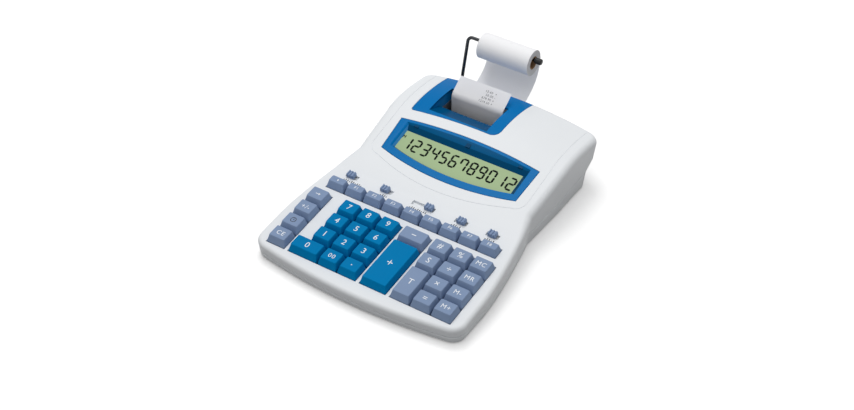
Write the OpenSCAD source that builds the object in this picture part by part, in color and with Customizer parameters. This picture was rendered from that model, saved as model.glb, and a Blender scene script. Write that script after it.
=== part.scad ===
// Desktop printing calculator with a key deck, a tilted display and a roll-fed printer.
// Millimetres. X runs to the right, Y to the rear and Z up. Lengths named _y are measured back from
// the front edge of the case on its centre line, and the whole is then centred on the origin.

/* [Case] */
// Width of the case across the key deck
case_w = 219; // [215:1:235]
// Width of the case at its waist, behind the sliding switches
waist_w = 188; // [184:1:200]
// Width of the hood over the display and the printer
hood_w = 194; // [190:1:205]
// Depth of the case on its centre line
case_d = 286; // [284:1:296]
// How far the front edge curves back towards its ends
front_bow = 8; // [0:0.5:10]
// How far the rear edge curves forward towards its ends
rear_bow = 10; // [4:0.5:11]
// Thickness of the walls of both shells
wall = 2.2; // [1.8:0.1:2.6]
// Radius of the shoulder along the key deck
deck_round = 4; // [3:0.5:5]
// Radius of the shoulder along the hood
hood_round = 6.5; // [5:0.5:8]
// Plan radius of the two front corners
front_corner = 13; // [8:1:16]
// Plan radius of the two rear corners
rear_corner = 13; // [11:1:18]
// Inward lean of the side walls, in degrees
draft = 7; // [4:0.5:8]
// Distance to where the sides begin to draw in
taper_y = 45; // [35:1:70]
// Distance to the waist
waist_y = 152; // [140:1:165]
// Height of the seam between the shells at the front edge
seam_h = 8; // [7:0.5:9.5]
// Slope of the seam between the shells, in degrees
seam_slope = 3; // [2:0.25:3.5]
// Width and depth of the shadow groove along the seam
seam_groove = 0.9; // [0.5:0.1:1.2]
// How far the base stands in under the rear edge of the hood
rear_tuck = 10; // [6:1:14]
// Height of the undercut below the rear wall of the hood
tuck_rise = 9; // [6:0.5:10]

/* [Deck and hood] */
// Slope of the key deck, in degrees
deck_slope = 7.2; // [6:0.2:8.4]
// Height of the key deck at the front row of keys
deck_h = 18.6; // [18:0.1:21]
// Distance to the front row of keys
key_y = 14.3; // [13.5:0.1:16]
// Distance to the foot of the display ramp
ramp_y = 125; // [123:1:128]
// Slope of the display ramp, in degrees
ramp_slope = 14.8; // [13:0.2:16]
// Distance to where the ramp begins to curve over
crest_y = 208; // [207:1:211]
// Height of the hood at its rear edge
rear_h = 52; // [50:0.5:54]
// How much lower the hood is at its sides than along its middle
crown_h = 3; // [0:0.25:4]

/* [Keys] */
// Width of a key at the deck
key_w = 19.4; // [17:0.1:20]
// Depth of a key at the deck
key_d = 17.1; // [15:0.1:17.4]
// Gap between neighbouring keys
key_gap = 1.7; // [1.2:0.1:2]
// Gap between groups of keys
group_gap = 4.5; // [4:0.1:5.5]
// Extra width of the zero key
zero_extra = 11.2; // [8:0.1:12]
// Width of the plus and minus keys
plus_w = 27.1; // [22:0.1:28]
// Width of a function key
function_w = 18.7; // [16:0.1:19.4]
// Depth of a function key
function_d = 11.5; // [10.5:0.1:12]
// Gap between the main keys and the function keys
function_gap = 8.8; // [7.5:0.1:9.5]
// Height of the keys above the deck
key_h = 6.8; // [5.5:0.1:8]
// How far the key sides lean in
key_side = 3.2; // [2:0.1:3.6]
// How far the key front leans back
key_front = 2.9; // [1.5:0.1:3.2]
// How far the key rear leans forward
key_rear = 1.5; // [0.8:0.1:2]
// Depth of the dish in the key tops
key_dish = 0.35; // [0.1:0.05:0.6]
// Wall thickness of the key caps
key_wall = 1.2; // [0.9:0.1:1.4]
// Length of the key skirts below the deck
key_skirt = 3; // [2:0.1:3.4]
// Travel of the keys
key_travel = 3; // [2.6:0.1:3.2]
// Gap between the outer keys and the deck
key_clear = 0.6; // [0.4:0.1:0.8]
// Reach of the key stems below the deck
stem_reach = 4; // [3.8:0.1:5]
// Length of the arms of the cross-shaped key stems
stem_w = 4; // [3:0.1:4.6]

/* [Key contacts] */
// Height that is left of a rubber dome under a pressed key
dome_left = 0.6; // [0.4:0.1:1.2]
// Radius of a rubber dome at its foot
dome_r = 3.4; // [2.8:0.1:3.8]
// Thickness of the rubber sheet
sheet_t = 0.6; // [0.4:0.1:1]
// Thickness of the key board
board_t = 1.6; // [1:0.1:2]
// Gap between a key stem and its dome
dome_gap = 0.05; // [0.02:0.01:0.1]

/* [Sliding switches] */
// Distance up the deck from the front row of keys to the switches
switch_v = 104.8; // [103:0.1:106]
// Width of the switch knobs
knob_w = 5.6; // [4.5:0.1:6.5]
// Depth of the switch knobs
knob_d = 4.8; // [4:0.1:5.5]
// Height of the switch knobs above the deck
knob_h = 3.6; // [2.5:0.1:5]
// Depth of the switch slots
slot_d = 3.2; // [2.6:0.1:3.8]
// Length of the short switch slots
slot_w = 13; // [11:0.5:15]
// Length of the long switch slot
long_slot_w = 24; // [18:0.5:26]
// Working gap of the knobs above and below the deck
knob_gap = 0.1; // [0.05:0.01:0.2]
// Working gap of the knob necks in their slots
neck_gap = 0.3; // [0.2:0.05:0.4]

/* [Display] */
// Distance up the ramp to the front edge of the bezel
bezel_v = 26; // [25:0.5:28]
// Depth of the bezel along its middle
bezel_d = 55; // [50:0.5:56]
// Width of the bezel at its front corners
bezel_front_w = 146; // [140:1:150]
// Width of the bezel at its rear corners
bezel_rear_w = 151; // [144:1:153]
// How far the front edge of the bezel bows forward
bezel_front_bow = 10; // [6:0.5:12]
// How far the rear edge of the bezel bows back
bezel_rear_bow = 6.3; // [4:0.1:8]
// Width of the bezel's rim along its front edge
bezel_rim = 8; // [6:0.5:10]
// Width of the bezel's opening
pane_w = 133; // [120:1:134]
// Depth of the bezel's rear band
band_d = 17; // [12:0.5:19]
// Thickness of the bezel's clamping flange
flange_t = 1.5; // [1.2:0.1:2]
// How far the bezel's flange reaches under the case
flange_lap = 2; // [1.5:0.1:2.5]
// Thickness of the liquid crystal panel
panel_t = 2.8; // [2:0.1:4]
// Gap round the bezel and the printer cover
fit_gap = 0.4; // [0.2:0.05:0.6]

/* [Paper] */
// Width of the paper
paper_w = 57; // [55:0.5:58]
// Sideways place of the paper's middle
paper_x = -25.5; // [-28:0.5:-22]
// Thickness of the paper web
paper_t = 0.3; // [0.2:0.05:0.4]
// Gap between the paper web and the rollers that it passes
web_gap = 0.05; // [0.03:0.01:0.1]
// Radius of the paper roll
roll_r = 13; // [11:0.5:24]
// Radius of the roll's bore
bore_r = 5.5; // [4.5:0.1:6.5]
// Distance from the rear edge of the case back to the roll's axis
roll_back = 21.7; // [19:0.1:30]
// Height of the roll's axis
roll_z = 81; // [76:0.5:90]
// Length of the strip that stands out of the printer
strip_len = 17; // [8:0.5:30]
// Lean of the strip above the level, in degrees
strip_lean = 36; // [25:1:60]

/* [Printer] */
// Distance to the front edge of the printer cover
cover_y = 215.5; // [214:0.5:217]
// Width of the printer cover
cover_w = 92; // [88:0.5:95]
// Thickness of the printer cover
cover_t = 2.2; // [1.6:0.1:2.6]
// How far the cover's middle lies to the left of the paper's
cover_shift = 1.75; // [0:0.25:3]
// Drop from the rear height of the hood to the lower edge of the cover
cover_drop = 8; // [7.5:0.5:9]
// Width of the paper opening in the cover
opening_w = 64; // [62:0.5:66]
// Distance to the rear edge of the paper opening
opening_y = 258; // [257:0.5:262]
// Thickness of the walls under the cover
skirt_t = 1.6; // [1.2:0.1:2]
// Height of the printer frame's top
frame_h = 45.5; // [45:0.5:47]
// Thickness of the printer frame's plates
plate_t = 2; // [1.5:0.1:2.2]
// Distance to the print drum's axis
drum_y = 239.5; // [238:0.5:240.5]
// Height of the print drum's axis
drum_z = 35; // [34:0.5:35.5]
// Radius of the print drum
drum_r = 7; // [6:0.1:7.4]
// Radius of the feed roller
feed_r = 5; // [4:0.1:5.6]
// Drop from the print drum's axis to the feed roller's
feed_drop = 6; // [4:0.5:8]
// Radius of the ink roller
ink_r = 6; // [5:0.1:6.4]
// Rise from the print drum's axis to the ink roller's
ink_rise = 2; // [1:0.5:3]
// Radius of the shafts
shaft_r = 2; // [1.5:0.1:2.2]
// Running gap of the shafts in their bores
shaft_gap = 0.05; // [0.02:0.01:0.08]
// Number of teeth on each gear
teeth = 20; // [20:4:24]
// Tooth module of the gears
gear_m = 0.9; // [0.85:0.01:0.95]
// Face width of the gears
gear_w = 4; // [3:0.5:5]
// Working gap beside the gears and between the rollers
roller_gap = 0.3; // [0.2:0.05:0.4]

/* [Roll arm] */
// Radius of the wire
wire_r = 1.7; // [1.2:0.1:2]
// Sideways distance from the roll's end to the wire's leg
leg_gap = 17; // [12:0.5:20]
// Lean of the wire's leg, in degrees
leg_lean = 14; // [8:1:18]
// Height of the wire's foot
foot_z = 38; // [37:0.5:39]
// Radius of the bends in the wire
bend_r = 5; // [4:0.5:7]
// Radius of the cap on the wire's end
tip_r = 3.1; // [2.6:0.1:4]
// Length of the cap on the wire's end
tip_len = 7; // [5:0.5:10]

/* [Feet and screws] */
// Height of the rubber feet
foot_h = 1.6; // [1.2:0.1:2.2]
// Radius of the rubber feet
foot_r = 6.5; // [5:0.5:8]
// Radius of the screw bosses
boss_r = 4; // [3.6:0.1:4.5]
// Radius of the screw shanks
screw_r = 1.4; // [1.2:0.1:1.6]
// Radius of the screw heads
head_r = 2.8; // [2.4:0.1:3]

/* [Hidden] */
$fn = 64;
white = "#e8eaec";
slate = "#7383ac";
blue = "#007dbc";
cover_blue = "#0072bc";
eps = 0.01;
rest_face = 0.05;
cut = 6;

// Layout across the deck, from left to right
pad_w = 3 * key_w + 2 * key_gap;
field_w = key_w + 3 * group_gap + zero_extra + 2 * pad_w + plus_w;
left_x = -field_w / 2;
pad_x = left_x + key_w + group_gap + zero_extra;
plus_x = pad_x + pad_w + group_gap;
right_x = plus_x + plus_w + group_gap;
function_row_w = 9 * function_w + 8 * key_gap;

// Layout up the deck, from front to rear
pitch_x = key_w + key_gap;
pitch_v = key_d + key_gap;
rows_d = 4 * key_d + 3 * key_gap;
function_v = rows_d + function_gap;

// Depths under the deck's surface
dome_h = key_travel + dome_left;
dome_top = stem_reach + dome_gap;
sheet_top = dome_top + dome_h;
board_top = sheet_top + sheet_t;
board_margin = 2;

// Shared places of the printer and the roll
roll_y = case_d + roll_back;
overall_d = roll_y + roll_r + web_gap + paper_t;
gear_r = gear_m * teeth / 2;
feed_y = drum_y + sqrt(pow(2 * gear_r, 2) - pow(feed_drop, 2));
feed_z = drum_z - feed_drop;
ink_y = drum_y - sqrt(pow(drum_r + ink_r + roller_gap, 2) - pow(ink_rise, 2));
ink_z = drum_z + ink_rise;
frame_in = paper_w / 2 + 2.5;
floor_z = foot_h + wall;
slot_z = foot_z;

// Screw bosses and board posts, as sideways place and distance from the front edge or up the deck
boss_spots = [[-25, key_y - 5.4], [25, key_y - 5.4], [-86, ramp_y + 11], [86, ramp_y + 11],
              [-80, crest_y + 28], [80, crest_y + 28]];
foot_spots = [[-80, 30], [80, 30], [-72, 232], [72, 232]];
post_r = 1.4;
rib_v = rows_d + function_gap / 2;
post_spots = [[-60, rib_v], [0, rib_v], [60, rib_v], [pad_x - zero_extra - group_gap / 2, 1.5 * pitch_v],
              [plus_x - group_gap / 2, 1.5 * pitch_v], [right_x - group_gap / 2, 1.5 * pitch_v]];

left_names = ["key_clear", "key_circle", "key_sign", "key_back"];
number_names = [["key_0", "key_00", "key_point"], ["key_1", "key_2", "key_3"],
                ["key_4", "key_5", "key_6"], ["key_7", "key_8", "key_9"]];
right_names = [["key_equals", "key_memory_plus"], ["key_times", "key_memory_minus"],
               ["key_divide", "key_memory_recall"], ["key_percent", "key_memory_clear"]];
function_names = ["key_paper_feed", "key_function_1", "key_function_2", "key_function_3", "key_function_4",
                  "key_function_5", "key_function_6", "key_function_7", "key_function_8"];

// A key as its name, left edge, front edge, width, depth and colour
function grid_key(name, x, col, row, tone, rows = 1, extra = 0) =
    [name, x + col * pitch_x - extra, row * pitch_v, key_w + extra, rows * pitch_v - key_gap, tone];

KEYS = concat(
    [for (row = [0:3]) grid_key(left_names[row], left_x, 0, row, slate)],
    [for (row = [0:3], col = [0:2])
        grid_key(number_names[row][col], pad_x, col, row, blue, 1, row + col == 0 ? zero_extra : 0)],
    [["key_plus", plus_x, 0, plus_w, 3 * pitch_v - key_gap, blue],
     ["key_minus", plus_x, 3 * pitch_v, plus_w, key_d, slate]],
    [grid_key("key_total", right_x, 0, 0, slate, 2), grid_key("key_subtotal", right_x, 0, 2, slate),
     grid_key("key_nonadd", right_x, 0, 3, slate)],
    [for (row = [0:3], col = [0:1]) grid_key(right_names[row][col], right_x, col + 1, row, slate)],
    [for (col = [0:8]) [function_names[col], -function_row_w / 2 + col * (function_w + key_gap), function_v,
        function_w, function_d, slate]]);

// A sliding switch as its name, slot's middle, slot's length and the knob's resting place
SWITCHES = [["switch_rounding", -77, slot_w, -78], ["switch_print", -38.5, slot_w, -40],
            ["switch_decimal", 1.5, long_slot_w, 8], ["switch_count", 42, slot_w, 42.5],
            ["switch_rate", 75, slot_w, 75]];

// Blends and outlines of the case
function mix(a, b, t) = a + (b - a) * t;
function clamp(t) = max(0, min(1, t));
function ease(t) = t * t * (3 - 2 * t);
function span(a, b, n) = [for (k = [0:n - 1]) mix(a, b, k / n)];

function deck_z(y) = deck_h + tan(deck_slope) * (y - key_y);
function ramp_z(y) = deck_z(ramp_y) + tan(ramp_slope) * (y - ramp_y);
fall = (ramp_z(case_d) - rear_h) / pow(case_d - crest_y, 2);
function ridge_z(y) = y < ramp_y ? deck_z(y) : ramp_z(y) - fall * pow(max(0, y - crest_y), 2);
crown_run = 50;
function crown(x, y) = crown_h * ease(clamp((y - crest_y) / crown_run)) * pow(2 * x / hood_w, 2);
function top_z(x, y) = ridge_z(y) - crown(x, y);
function seam_z(y) = seam_h + tan(seam_slope) * y;

taper_power = 1.6;
function taper(y) = pow((y - taper_y) / (waist_y - taper_y), taper_power);
function half_w(y) = y < taper_y ? case_w / 2
    : y < waist_y ? mix(case_w, waist_w, taper(y)) / 2
    : mix(waist_w, hood_w, clamp((y - waist_y) / (crest_y - waist_y))) / 2;
function shoulder(y) = mix(deck_round, hood_round, ease(clamp((y - ramp_y) / (waist_y - ramp_y))));

// The flat of the top inside its shoulders: rows run from the front to the rear, columns from left to right
rear_lean = atan(2 * fall * (case_d - crest_y) - tan(ramp_slope));
front_in = deck_round * (1 - sin(deck_slope));
rear_in = case_d - hood_round * (1 - sin(rear_lean));
front_r = front_corner - deck_round;
rear_r = rear_corner - hood_round;
corner_steps = 3;
columns = 8;
rows = concat(
    [for (k = [0:corner_steps - 1]) front_in + front_r * (1 - cos(90 * k / corner_steps))],
    span(front_in + front_r, taper_y, 2), span(taper_y, ramp_y, 4), span(ramp_y, waist_y, 3),
    span(waist_y, crest_y, 4), span(crest_y, rear_in - rear_r, 6),
    [for (k = [0:corner_steps]) rear_in - rear_r * (1 - sin(90 * k / corner_steps))]);
function corner_cut(r, d) = d < r ? r - sqrt(r * r - pow(r - d, 2)) : 0;
function flat_w(y) = half_w(y) - shoulder(y) - corner_cut(front_r, max(0, y - front_in))
    - corner_cut(rear_r, max(0, rear_in - y));
function bow(x, y) =
    front_bow * pow(clamp(1 - (y - front_in) / (ramp_y - front_in)) * x / flat_w(front_in), 2)
    - rear_bow * pow(clamp((y - crest_y) / (rear_in - crest_y)) * x / flat_w(rear_in), 2);
function flat_point(s, y, drop) = let (px = s * flat_w(y), py = y + bow(px, y))
    [px, py, top_z(px, py) - drop];
function flat_grid(drop) = [for (y = rows, i = [0:columns]) flat_point(2 * i / columns - 1, y, drop)];

// The edge of a grid, anticlockwise from its front left corner
function grid_edge(m, n) = concat([for (i = [0:n]) i], [for (j = [1:m]) j * (n + 1) + n],
    [for (i = [n - 1:-1:0]) m * (n + 1) + i], [for (j = [m - 1:-1:1]) j * (n + 1)]);
case_edge = grid_edge(len(rows) - 1, columns);
edge_n = len(case_edge);
edge_points = [for (grid = [flat_grid(0)], k = case_edge) grid[k]];
edge_normals = [for (k = [0:edge_n - 1])
    let (t = edge_points[(k + 1) % edge_n] - edge_points[(k + edge_n - 1) % edge_n], l = norm([t.x, t.y]))
    [t.y / l, -t.x / l]];

// The lean of the top where it meets its edge, which the shoulder carries on down to the wall
edge_lean = [for (k = [0:edge_n - 1]) let (p = edge_points[k], q = edge_normals[k])
    atan(p.z - top_z(p.x + q.x, p.y + q.y))];

// A ring round the case, out from the flat's edge by a distance, and drawn forward under the hood's rear
function ring_point(k, out, z, back = 0) = [edge_points[k].x + edge_normals[k].x * out,
                                            edge_points[k].y + edge_normals[k].y * out - back, z];
function shoulder_ring(part, t) = [for (k = [0:edge_n - 1])
    let (p = edge_points[k], r = shoulder(p.y) - t, a = mix(edge_lean[k], 90, part))
    ring_point(k, r * (sin(a) - sin(edge_lean[k])), p.z - t - r * (cos(edge_lean[k]) - cos(a)))];
function wall_top(k) = edge_points[k].z - shoulder(edge_points[k].y) * cos(edge_lean[k]);
function wall_out(k, z) = shoulder(edge_points[k].y) * (1 - sin(edge_lean[k]))
    - tan(draft) * (wall_top(k) - z);
tuck_y = rear_in - rear_r - rear_bow - 2 * rear_tuck;
function tuck(k) = rear_tuck * clamp((edge_points[k].y - tuck_y) / (2 * rear_tuck));
function seam_height(k, lower) = let (p = edge_points[k], ny = edge_normals[k].y)
    (seam_z(p.y + ny * wall_out(k, 0) - tuck(k)) - lower) / (1 - tan(seam_slope) * ny * tan(draft));
function seam_ring(inset, lower) = [for (k = [0:edge_n - 1]) let (z = seam_height(k, lower))
    ring_point(k, wall_out(k, z) - inset, z, tuck(k))];
function base_ring(inset, z) = [for (k = [0:edge_n - 1]) ring_point(k, wall_out(k, z) - inset, z, tuck(k))];

// The bend where the rear wall turns in to the undercut, a part of the way up from it to the shoulder
function knee_z(k) = let (low = seam_height(k, 0)) low + min(tuck_rise, 0.6 * (wall_top(k) - low));
function knee_ring(inset, part) = [for (k = [0:edge_n - 1]) let (z = mix(knee_z(k), wall_top(k), part))
    ring_point(k, wall_out(k, z) - inset, z)];

// The undercut carried on below the seam, where the seam's plane will cut it
function under_ring(lower) = [for (k = [0:edge_n - 1]) let (low = seam_height(k, 0), z = low - lower)
    ring_point(k, wall_out(k, z), z, tuck(k) * (1 + lower / (knee_z(k) - low)))];

// Faces between neighbouring rings of points, and over a grid of points
function ring_faces(a, b) = let (n = len(a)) [for (p = [0:n - 1]) let (q = (p + 1) % n)
    each [[a[p], a[q], b[q]], [a[p], b[q], b[p]]]];
function grid_faces(m, n, start, up) = [for (j = [0:m - 1], i = [0:n - 1])
    let (a = start + j * (n + 1) + i, b = a + 1, c = a + n + 2, d = a + n + 1)
    each up ? [[a, d, c], [a, c, b]] : [[a, c, d], [a, b, c]]];

// A closed sheet between an upper and a lower grid
module sheet(m, n, upper, lower) {
    g = len(upper);
    edge = grid_edge(m, n);
    polyhedron(
        points = concat(upper, lower),
        faces = concat(grid_faces(m, n, 0, true), grid_faces(m, n, g, false),
                       ring_faces(edge, [for (p = edge) g + p])));
}

// A closed solid under a grid, through rings that follow its edge down to a flat cap
module dome(m, n, upper, rings) {
    g = len(upper);
    e = len(rings[0]);
    chain = concat([grid_edge(m, n)],
                   [for (k = [0:len(rings) - 1]) [for (p = [0:e - 1]) g + k * e + p]]);
    polyhedron(
        points = concat(upper, [for (ring = rings) each ring]),
        faces = concat(grid_faces(m, n, 0, true), [chain[len(rings)]],
                       [for (k = [0:len(rings) - 1]) each ring_faces(chain[k], chain[k + 1])]));
}

// A closed solid through a stack of rings, with a flat cap on the first and the last
module stack(rings) {
    e = len(rings[0]);
    index = [for (k = [0:len(rings) - 1]) [for (p = [0:e - 1]) k * e + p]];
    polyhedron(
        points = [for (ring = rings) each ring],
        faces = concat([reversed(index[0])], [index[len(rings) - 1]],
                       [for (k = [0:len(rings) - 2]) each ring_faces(index[k], index[k + 1])]));
}

// Frames of the whole model, the key deck and the display ramp
module centred() { translate([0, -overall_d / 2, 0]) children(); }
module on_deck() { translate([0, key_y, deck_h]) rotate([deck_slope, 0, 0]) children(); }
module on_ramp() { translate([0, ramp_y, deck_z(ramp_y)]) rotate([ramp_slope, 0, 0]) children(); }

// A plate cut square to X from an outline in Y and Z
module side_plate(x, t) { translate([x, 0, 0]) rotate([90, 0, 90]) linear_extrude(t) children(); }

module cross_shaft(x0, x1, y, z, r) {
    translate([x0, y, z]) rotate([0, 90, 0]) cylinder(r = r, h = x1 - x0);
}

// Case shells
shoulder_parts = [0.25, 0.5, 0.75, 1];
knee_part = 0.1;
function reversed(list) = [for (k = [len(list) - 1:-1:0]) list[k]];

module case_outside() {
    dome(len(rows) - 1, columns, flat_grid(0),
         concat([for (part = shoulder_parts) shoulder_ring(part, 0)],
                [knee_ring(0, 0), under_ring(wall), base_ring(0, seam_h / 4)]));
}

module case_inside() {
    dome(len(rows) - 1, columns, flat_grid(wall),
         concat([for (part = shoulder_parts) shoulder_ring(part, wall)],
                [knee_ring(wall, knee_part), seam_ring(wall, -wall), base_ring(wall, seam_h / 2)]));
}

// Blocks that trim a shell: on one side of the seam's plane, and below a level
module seam_block(start) {
    translate([-case_w, 0, seam_h]) rotate([seam_slope, 0, 0]) translate([0, -case_d, start])
        cube([2 * case_w, 3 * case_d, 2 * rear_h]);
}

module level_block(top) {
    translate([-case_w, -case_d, top - 2 * rear_h]) cube([2 * case_w, 3 * case_d, 2 * rear_h]);
}

module deck_window(x, v, w, d) {
    translate([x - key_clear, v - key_clear, -cut]) cube([w + 2 * key_clear, d + 2 * key_clear, 2 * cut]);
}

module key_windows() {
    on_deck() {
        deck_window(left_x, 0, key_w, rows_d);
        deck_window(pad_x, 0, pad_w, rows_d);
        deck_window(pad_x - zero_extra, 0, key_w, key_d);
        deck_window(plus_x, 0, plus_w, rows_d);
        deck_window(right_x, 0, pad_w, rows_d);
        deck_window(-function_row_w / 2, function_v, function_row_w, function_d);
        for (knob = SWITCHES)
            translate([knob[1] - knob[2] / 2, switch_v - slot_d / 2, -cut])
                cube([knob[2], slot_d, 2 * cut]);
    }
}

function boss_joint(spot) = seam_z(spot.y) + wall;
function boss_top(spot) = top_z(spot.x, spot.y) - 0.75 * wall;

module screw_bosses() {
    for (spot = boss_spots)
        translate([spot.x, spot.y, boss_joint(spot)])
            cylinder(r = boss_r, h = boss_top(spot) - boss_joint(spot));
}

module screw_pilots() {
    for (spot = boss_spots)
        translate([spot.x, spot.y, boss_joint(spot) - eps])
            cylinder(r = screw_r + shaft_gap, h = screw_bite + 2 * rest_face);
}

module board_posts() {
    on_deck()
        for (spot = post_spots)
            translate([spot.x, spot.y, -board_top]) cylinder(r = post_r, h = board_top - wall / 2);
}

arm_x = paper_x - paper_w / 2 - leg_gap;
rear_wall_top = ridge_z(rear_in) - hood_round * cos(rear_lean);
function rear_edge(x) = rear_in - rear_bow * pow(x / flat_w(rear_in), 2);
function rear_y(x, z) = rear_edge(x) + case_d - rear_in - tan(draft) * (rear_wall_top - z);
socket_deep = 12;

module arm_socket() {
    translate([arm_x, rear_y(arm_x, foot_z) - wall / 2, foot_z]) rotate([90, 0, 0])
        cylinder(r = wire_r + wall, h = socket_deep - wall / 2);
}

module arm_bore() {
    translate([arm_x, rear_y(arm_x, foot_z) + cut, foot_z]) rotate([90, 0, 0])
        cylinder(r = wire_r + shaft_gap, h = socket_deep + cut + eps);
}

module paper_slot() {
    slot_half = paper_w / 2 + 1.5;
    slot_high = 5;
    translate([paper_x - slot_half, rear_y(paper_x, slot_z) - 3 * wall, slot_z - slot_high / 2])
        cube([2 * slot_half, 6 * wall, slot_high]);
}

// The bosses, posts and socket are what the inside leaves standing
module top_shell() {
    difference() {
        case_outside();
        difference() {
            case_inside();
            screw_bosses();
            board_posts();
            arm_socket();
        }
    }
}

module top_case() {
    color(white) centred() difference() {
        top_shell();
        seam_block(-2 * rear_h);
        key_windows();
        on_ramp() translate([0, 0, -cut]) barrel(fit_gap, 2 * cut);
        translate([0, 0, cover_foot - fit_gap]) linear_extrude(rear_h) polygon(cover_outline(fit_gap));
        paper_slot();
        arm_bore();
        screw_pilots();
    }
}

edge_break = 0.8;
screw_bite = 4;
head_h = 1.6;

module base_outside() {
    stack([base_ring(seam_groove, 0.7 * rear_h), seam_ring(seam_groove, seam_groove), seam_ring(0, seam_groove),
           base_ring(0, foot_h + edge_break), base_ring(2 * edge_break, foot_h - edge_break)]);
}

// The bosses are what the inside leaves standing on the floor
module base_inside() {
    difference() {
        stack([base_ring(wall, 0.8 * rear_h), base_ring(wall, foot_h)]);
        level_block(floor_z);
        for (spot = boss_spots)
            translate([spot.x, spot.y, floor_z - wall / 2])
                cylinder(r = boss_r, h = boss_joint(spot) - floor_z + wall / 2);
    }
}

module base_case() {
    color(white) centred() difference() {
        base_outside();
        seam_block(0);
        level_block(foot_h);
        base_inside();
        for (spot = boss_spots) {
            translate([spot.x, spot.y, foot_h - eps]) cylinder(r = screw_r + 2 * shaft_gap, h = 2 * rear_h);
            translate([spot.x, spot.y, foot_h - eps])
                cylinder(r = head_r + 2 * shaft_gap, h = head_h + 2 * eps);
        }
    }
}

module case_screws() {
    color("silver") centred()
        for (spot = boss_spots)
            translate([spot.x, spot.y, foot_h]) {
                cylinder(r = head_r, h = head_h);
                cylinder(r = screw_r, h = boss_joint(spot) - foot_h + screw_bite);
            }
}

module rubber_feet() {
    color("#2a2c2e") centred()
        for (spot = foot_spots)
            translate([spot.x, spot.y, 0]) cylinder(r = foot_r, h = foot_h);
}

// Keys and their contacts
board_x = max(field_w, function_row_w) / 2 + key_clear;
board_d = function_v + function_d + board_margin;

module key_board() {
    color("#2f6b46") centred() on_deck()
        translate([-board_x, -board_margin, -board_top - board_t])
            cube([2 * board_x, board_d + board_margin, board_t]);
}

module dome_sheet() {
    color("#9aa0a6") centred() on_deck() difference() {
        union() {
            translate([-board_x, -board_margin, -board_top])
                cube([2 * board_x, board_d + board_margin, sheet_t]);
            for (key = KEYS)
                translate([key[1] + key[3] / 2, key[2] + key[4] / 2, -sheet_top])
                    cylinder(r1 = dome_r, r2 = dome_r * 0.7, h = dome_h);
        }
        for (spot = post_spots)
            translate([spot.x, spot.y, -board_top - eps]) cylinder(r = post_r + neck_gap, h = 2 * sheet_t);
    }
}

// One level of a key cap: a rectangle with its corners cut off
key_nick = 1.2;
function key_ring(x0, x1, y0, y1, z) = [
    [x0 + key_nick, y0, z], [x1 - key_nick, y0, z], [x1, y0 + key_nick, z], [x1, y1 - key_nick, z],
    [x1 - key_nick, y1, z], [x0 + key_nick, y1, z], [x0, y1 - key_nick, z], [x0, y0 + key_nick, z]];

// A level of the cap part of the way from its foot to its top, drawn in by a margin
function key_level(w, d, t, margin, z) = key_ring(
    key_side * t + margin, w - key_side * t - margin, key_front * t + margin, d - key_rear * t - margin, z);

key_lip = 0.8;
key_edge = 0.7;

module key_cap(w, d) {
    roof = key_h - key_dish - key_wall;
    stack([key_level(w, d, 1, 3 * key_edge, key_h - key_dish), key_level(w, d, 1, key_edge, key_h),
           key_level(w, d, 1 - key_edge / key_h, 0, key_h - key_edge), key_level(w, d, 0, 0, key_lip),
           key_level(w, d, 0, 0, -key_skirt), key_level(w, d, 0, key_wall, -key_skirt),
           key_level(w, d, 0, key_wall, key_lip - key_wall), key_level(w, d, 1, key_wall, roof)]);
    translate([w / 2, d / 2, -stem_reach])
        for (turn = [0, 90])
            rotate([0, 0, turn]) translate([-stem_w / 2, -key_wall / 2, 0])
                cube([stem_w, key_wall, stem_reach + roof + key_wall / 2]);
}

module deck_key(key) {
    color(key[5]) centred() on_deck() translate([key[1], key[2], 0]) key_cap(key[3], key[4]);
}

neck_w = 4;
knob_plate = 1.2;

module switch_knob(knob) {
    skin_t = wall * cos(deck_slope);
    under = skin_t + knob_gap + knob_plate;
    neck_d = slot_d - 2 * neck_gap;
    ridge_w = 1;
    color(slate) centred() on_deck() translate([knob[3], switch_v, 0]) {
        translate([-knob_w / 2, -knob_d / 2, knob_gap]) cube([knob_w, knob_d, knob_h - knob_gap - ridge_w]);
        for (k = [-1:1])
            translate([k * (knob_w - ridge_w) / 2 - ridge_w / 2, -knob_d / 2, knob_gap])
                cube([ridge_w, knob_d, knob_h - knob_gap]);
        translate([-neck_w / 2, -neck_d / 2, -under]) cube([neck_w, neck_d, under + 2 * knob_gap]);
        translate([-neck_w, -slot_d, -under]) cube([2 * neck_w, 2 * slot_d, knob_plate]);
    }
}

// Display
function arc_radius(half, rise) = (half * half + rise * rise) / (2 * rise);
front_arc = arc_radius(bezel_front_w / 2, bezel_front_bow);
rear_arc = arc_radius(bezel_rear_w / 2, bezel_rear_bow);
arc_fn = 400;
bezel_seat = wall * cos(ramp_slope);
bezel_proud = 0.3;

module front_arc_disc(grow, h) {
    translate([0, bezel_v + front_arc, 0]) cylinder(r = front_arc + grow, h = h, $fn = arc_fn);
}

// The bezel's outline: a front and a rear arc between two slightly splayed sides
module barrel(grow, h) {
    f = bezel_front_w / 2 + grow;
    r = bezel_rear_w / 2 + grow;
    intersection() {
        front_arc_disc(grow, h);
        translate([0, bezel_v + bezel_d - rear_arc, 0]) cylinder(r = rear_arc + grow, h = h, $fn = arc_fn);
        translate([0, bezel_v - 2 * grow, 0]) linear_extrude(h)
            polygon([[-f, 0], [f, 0], [r, bezel_d + 4 * grow], [-r, bezel_d + 4 * grow]]);
    }
}

tab_w = 8;
tab_d = 3;

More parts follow.
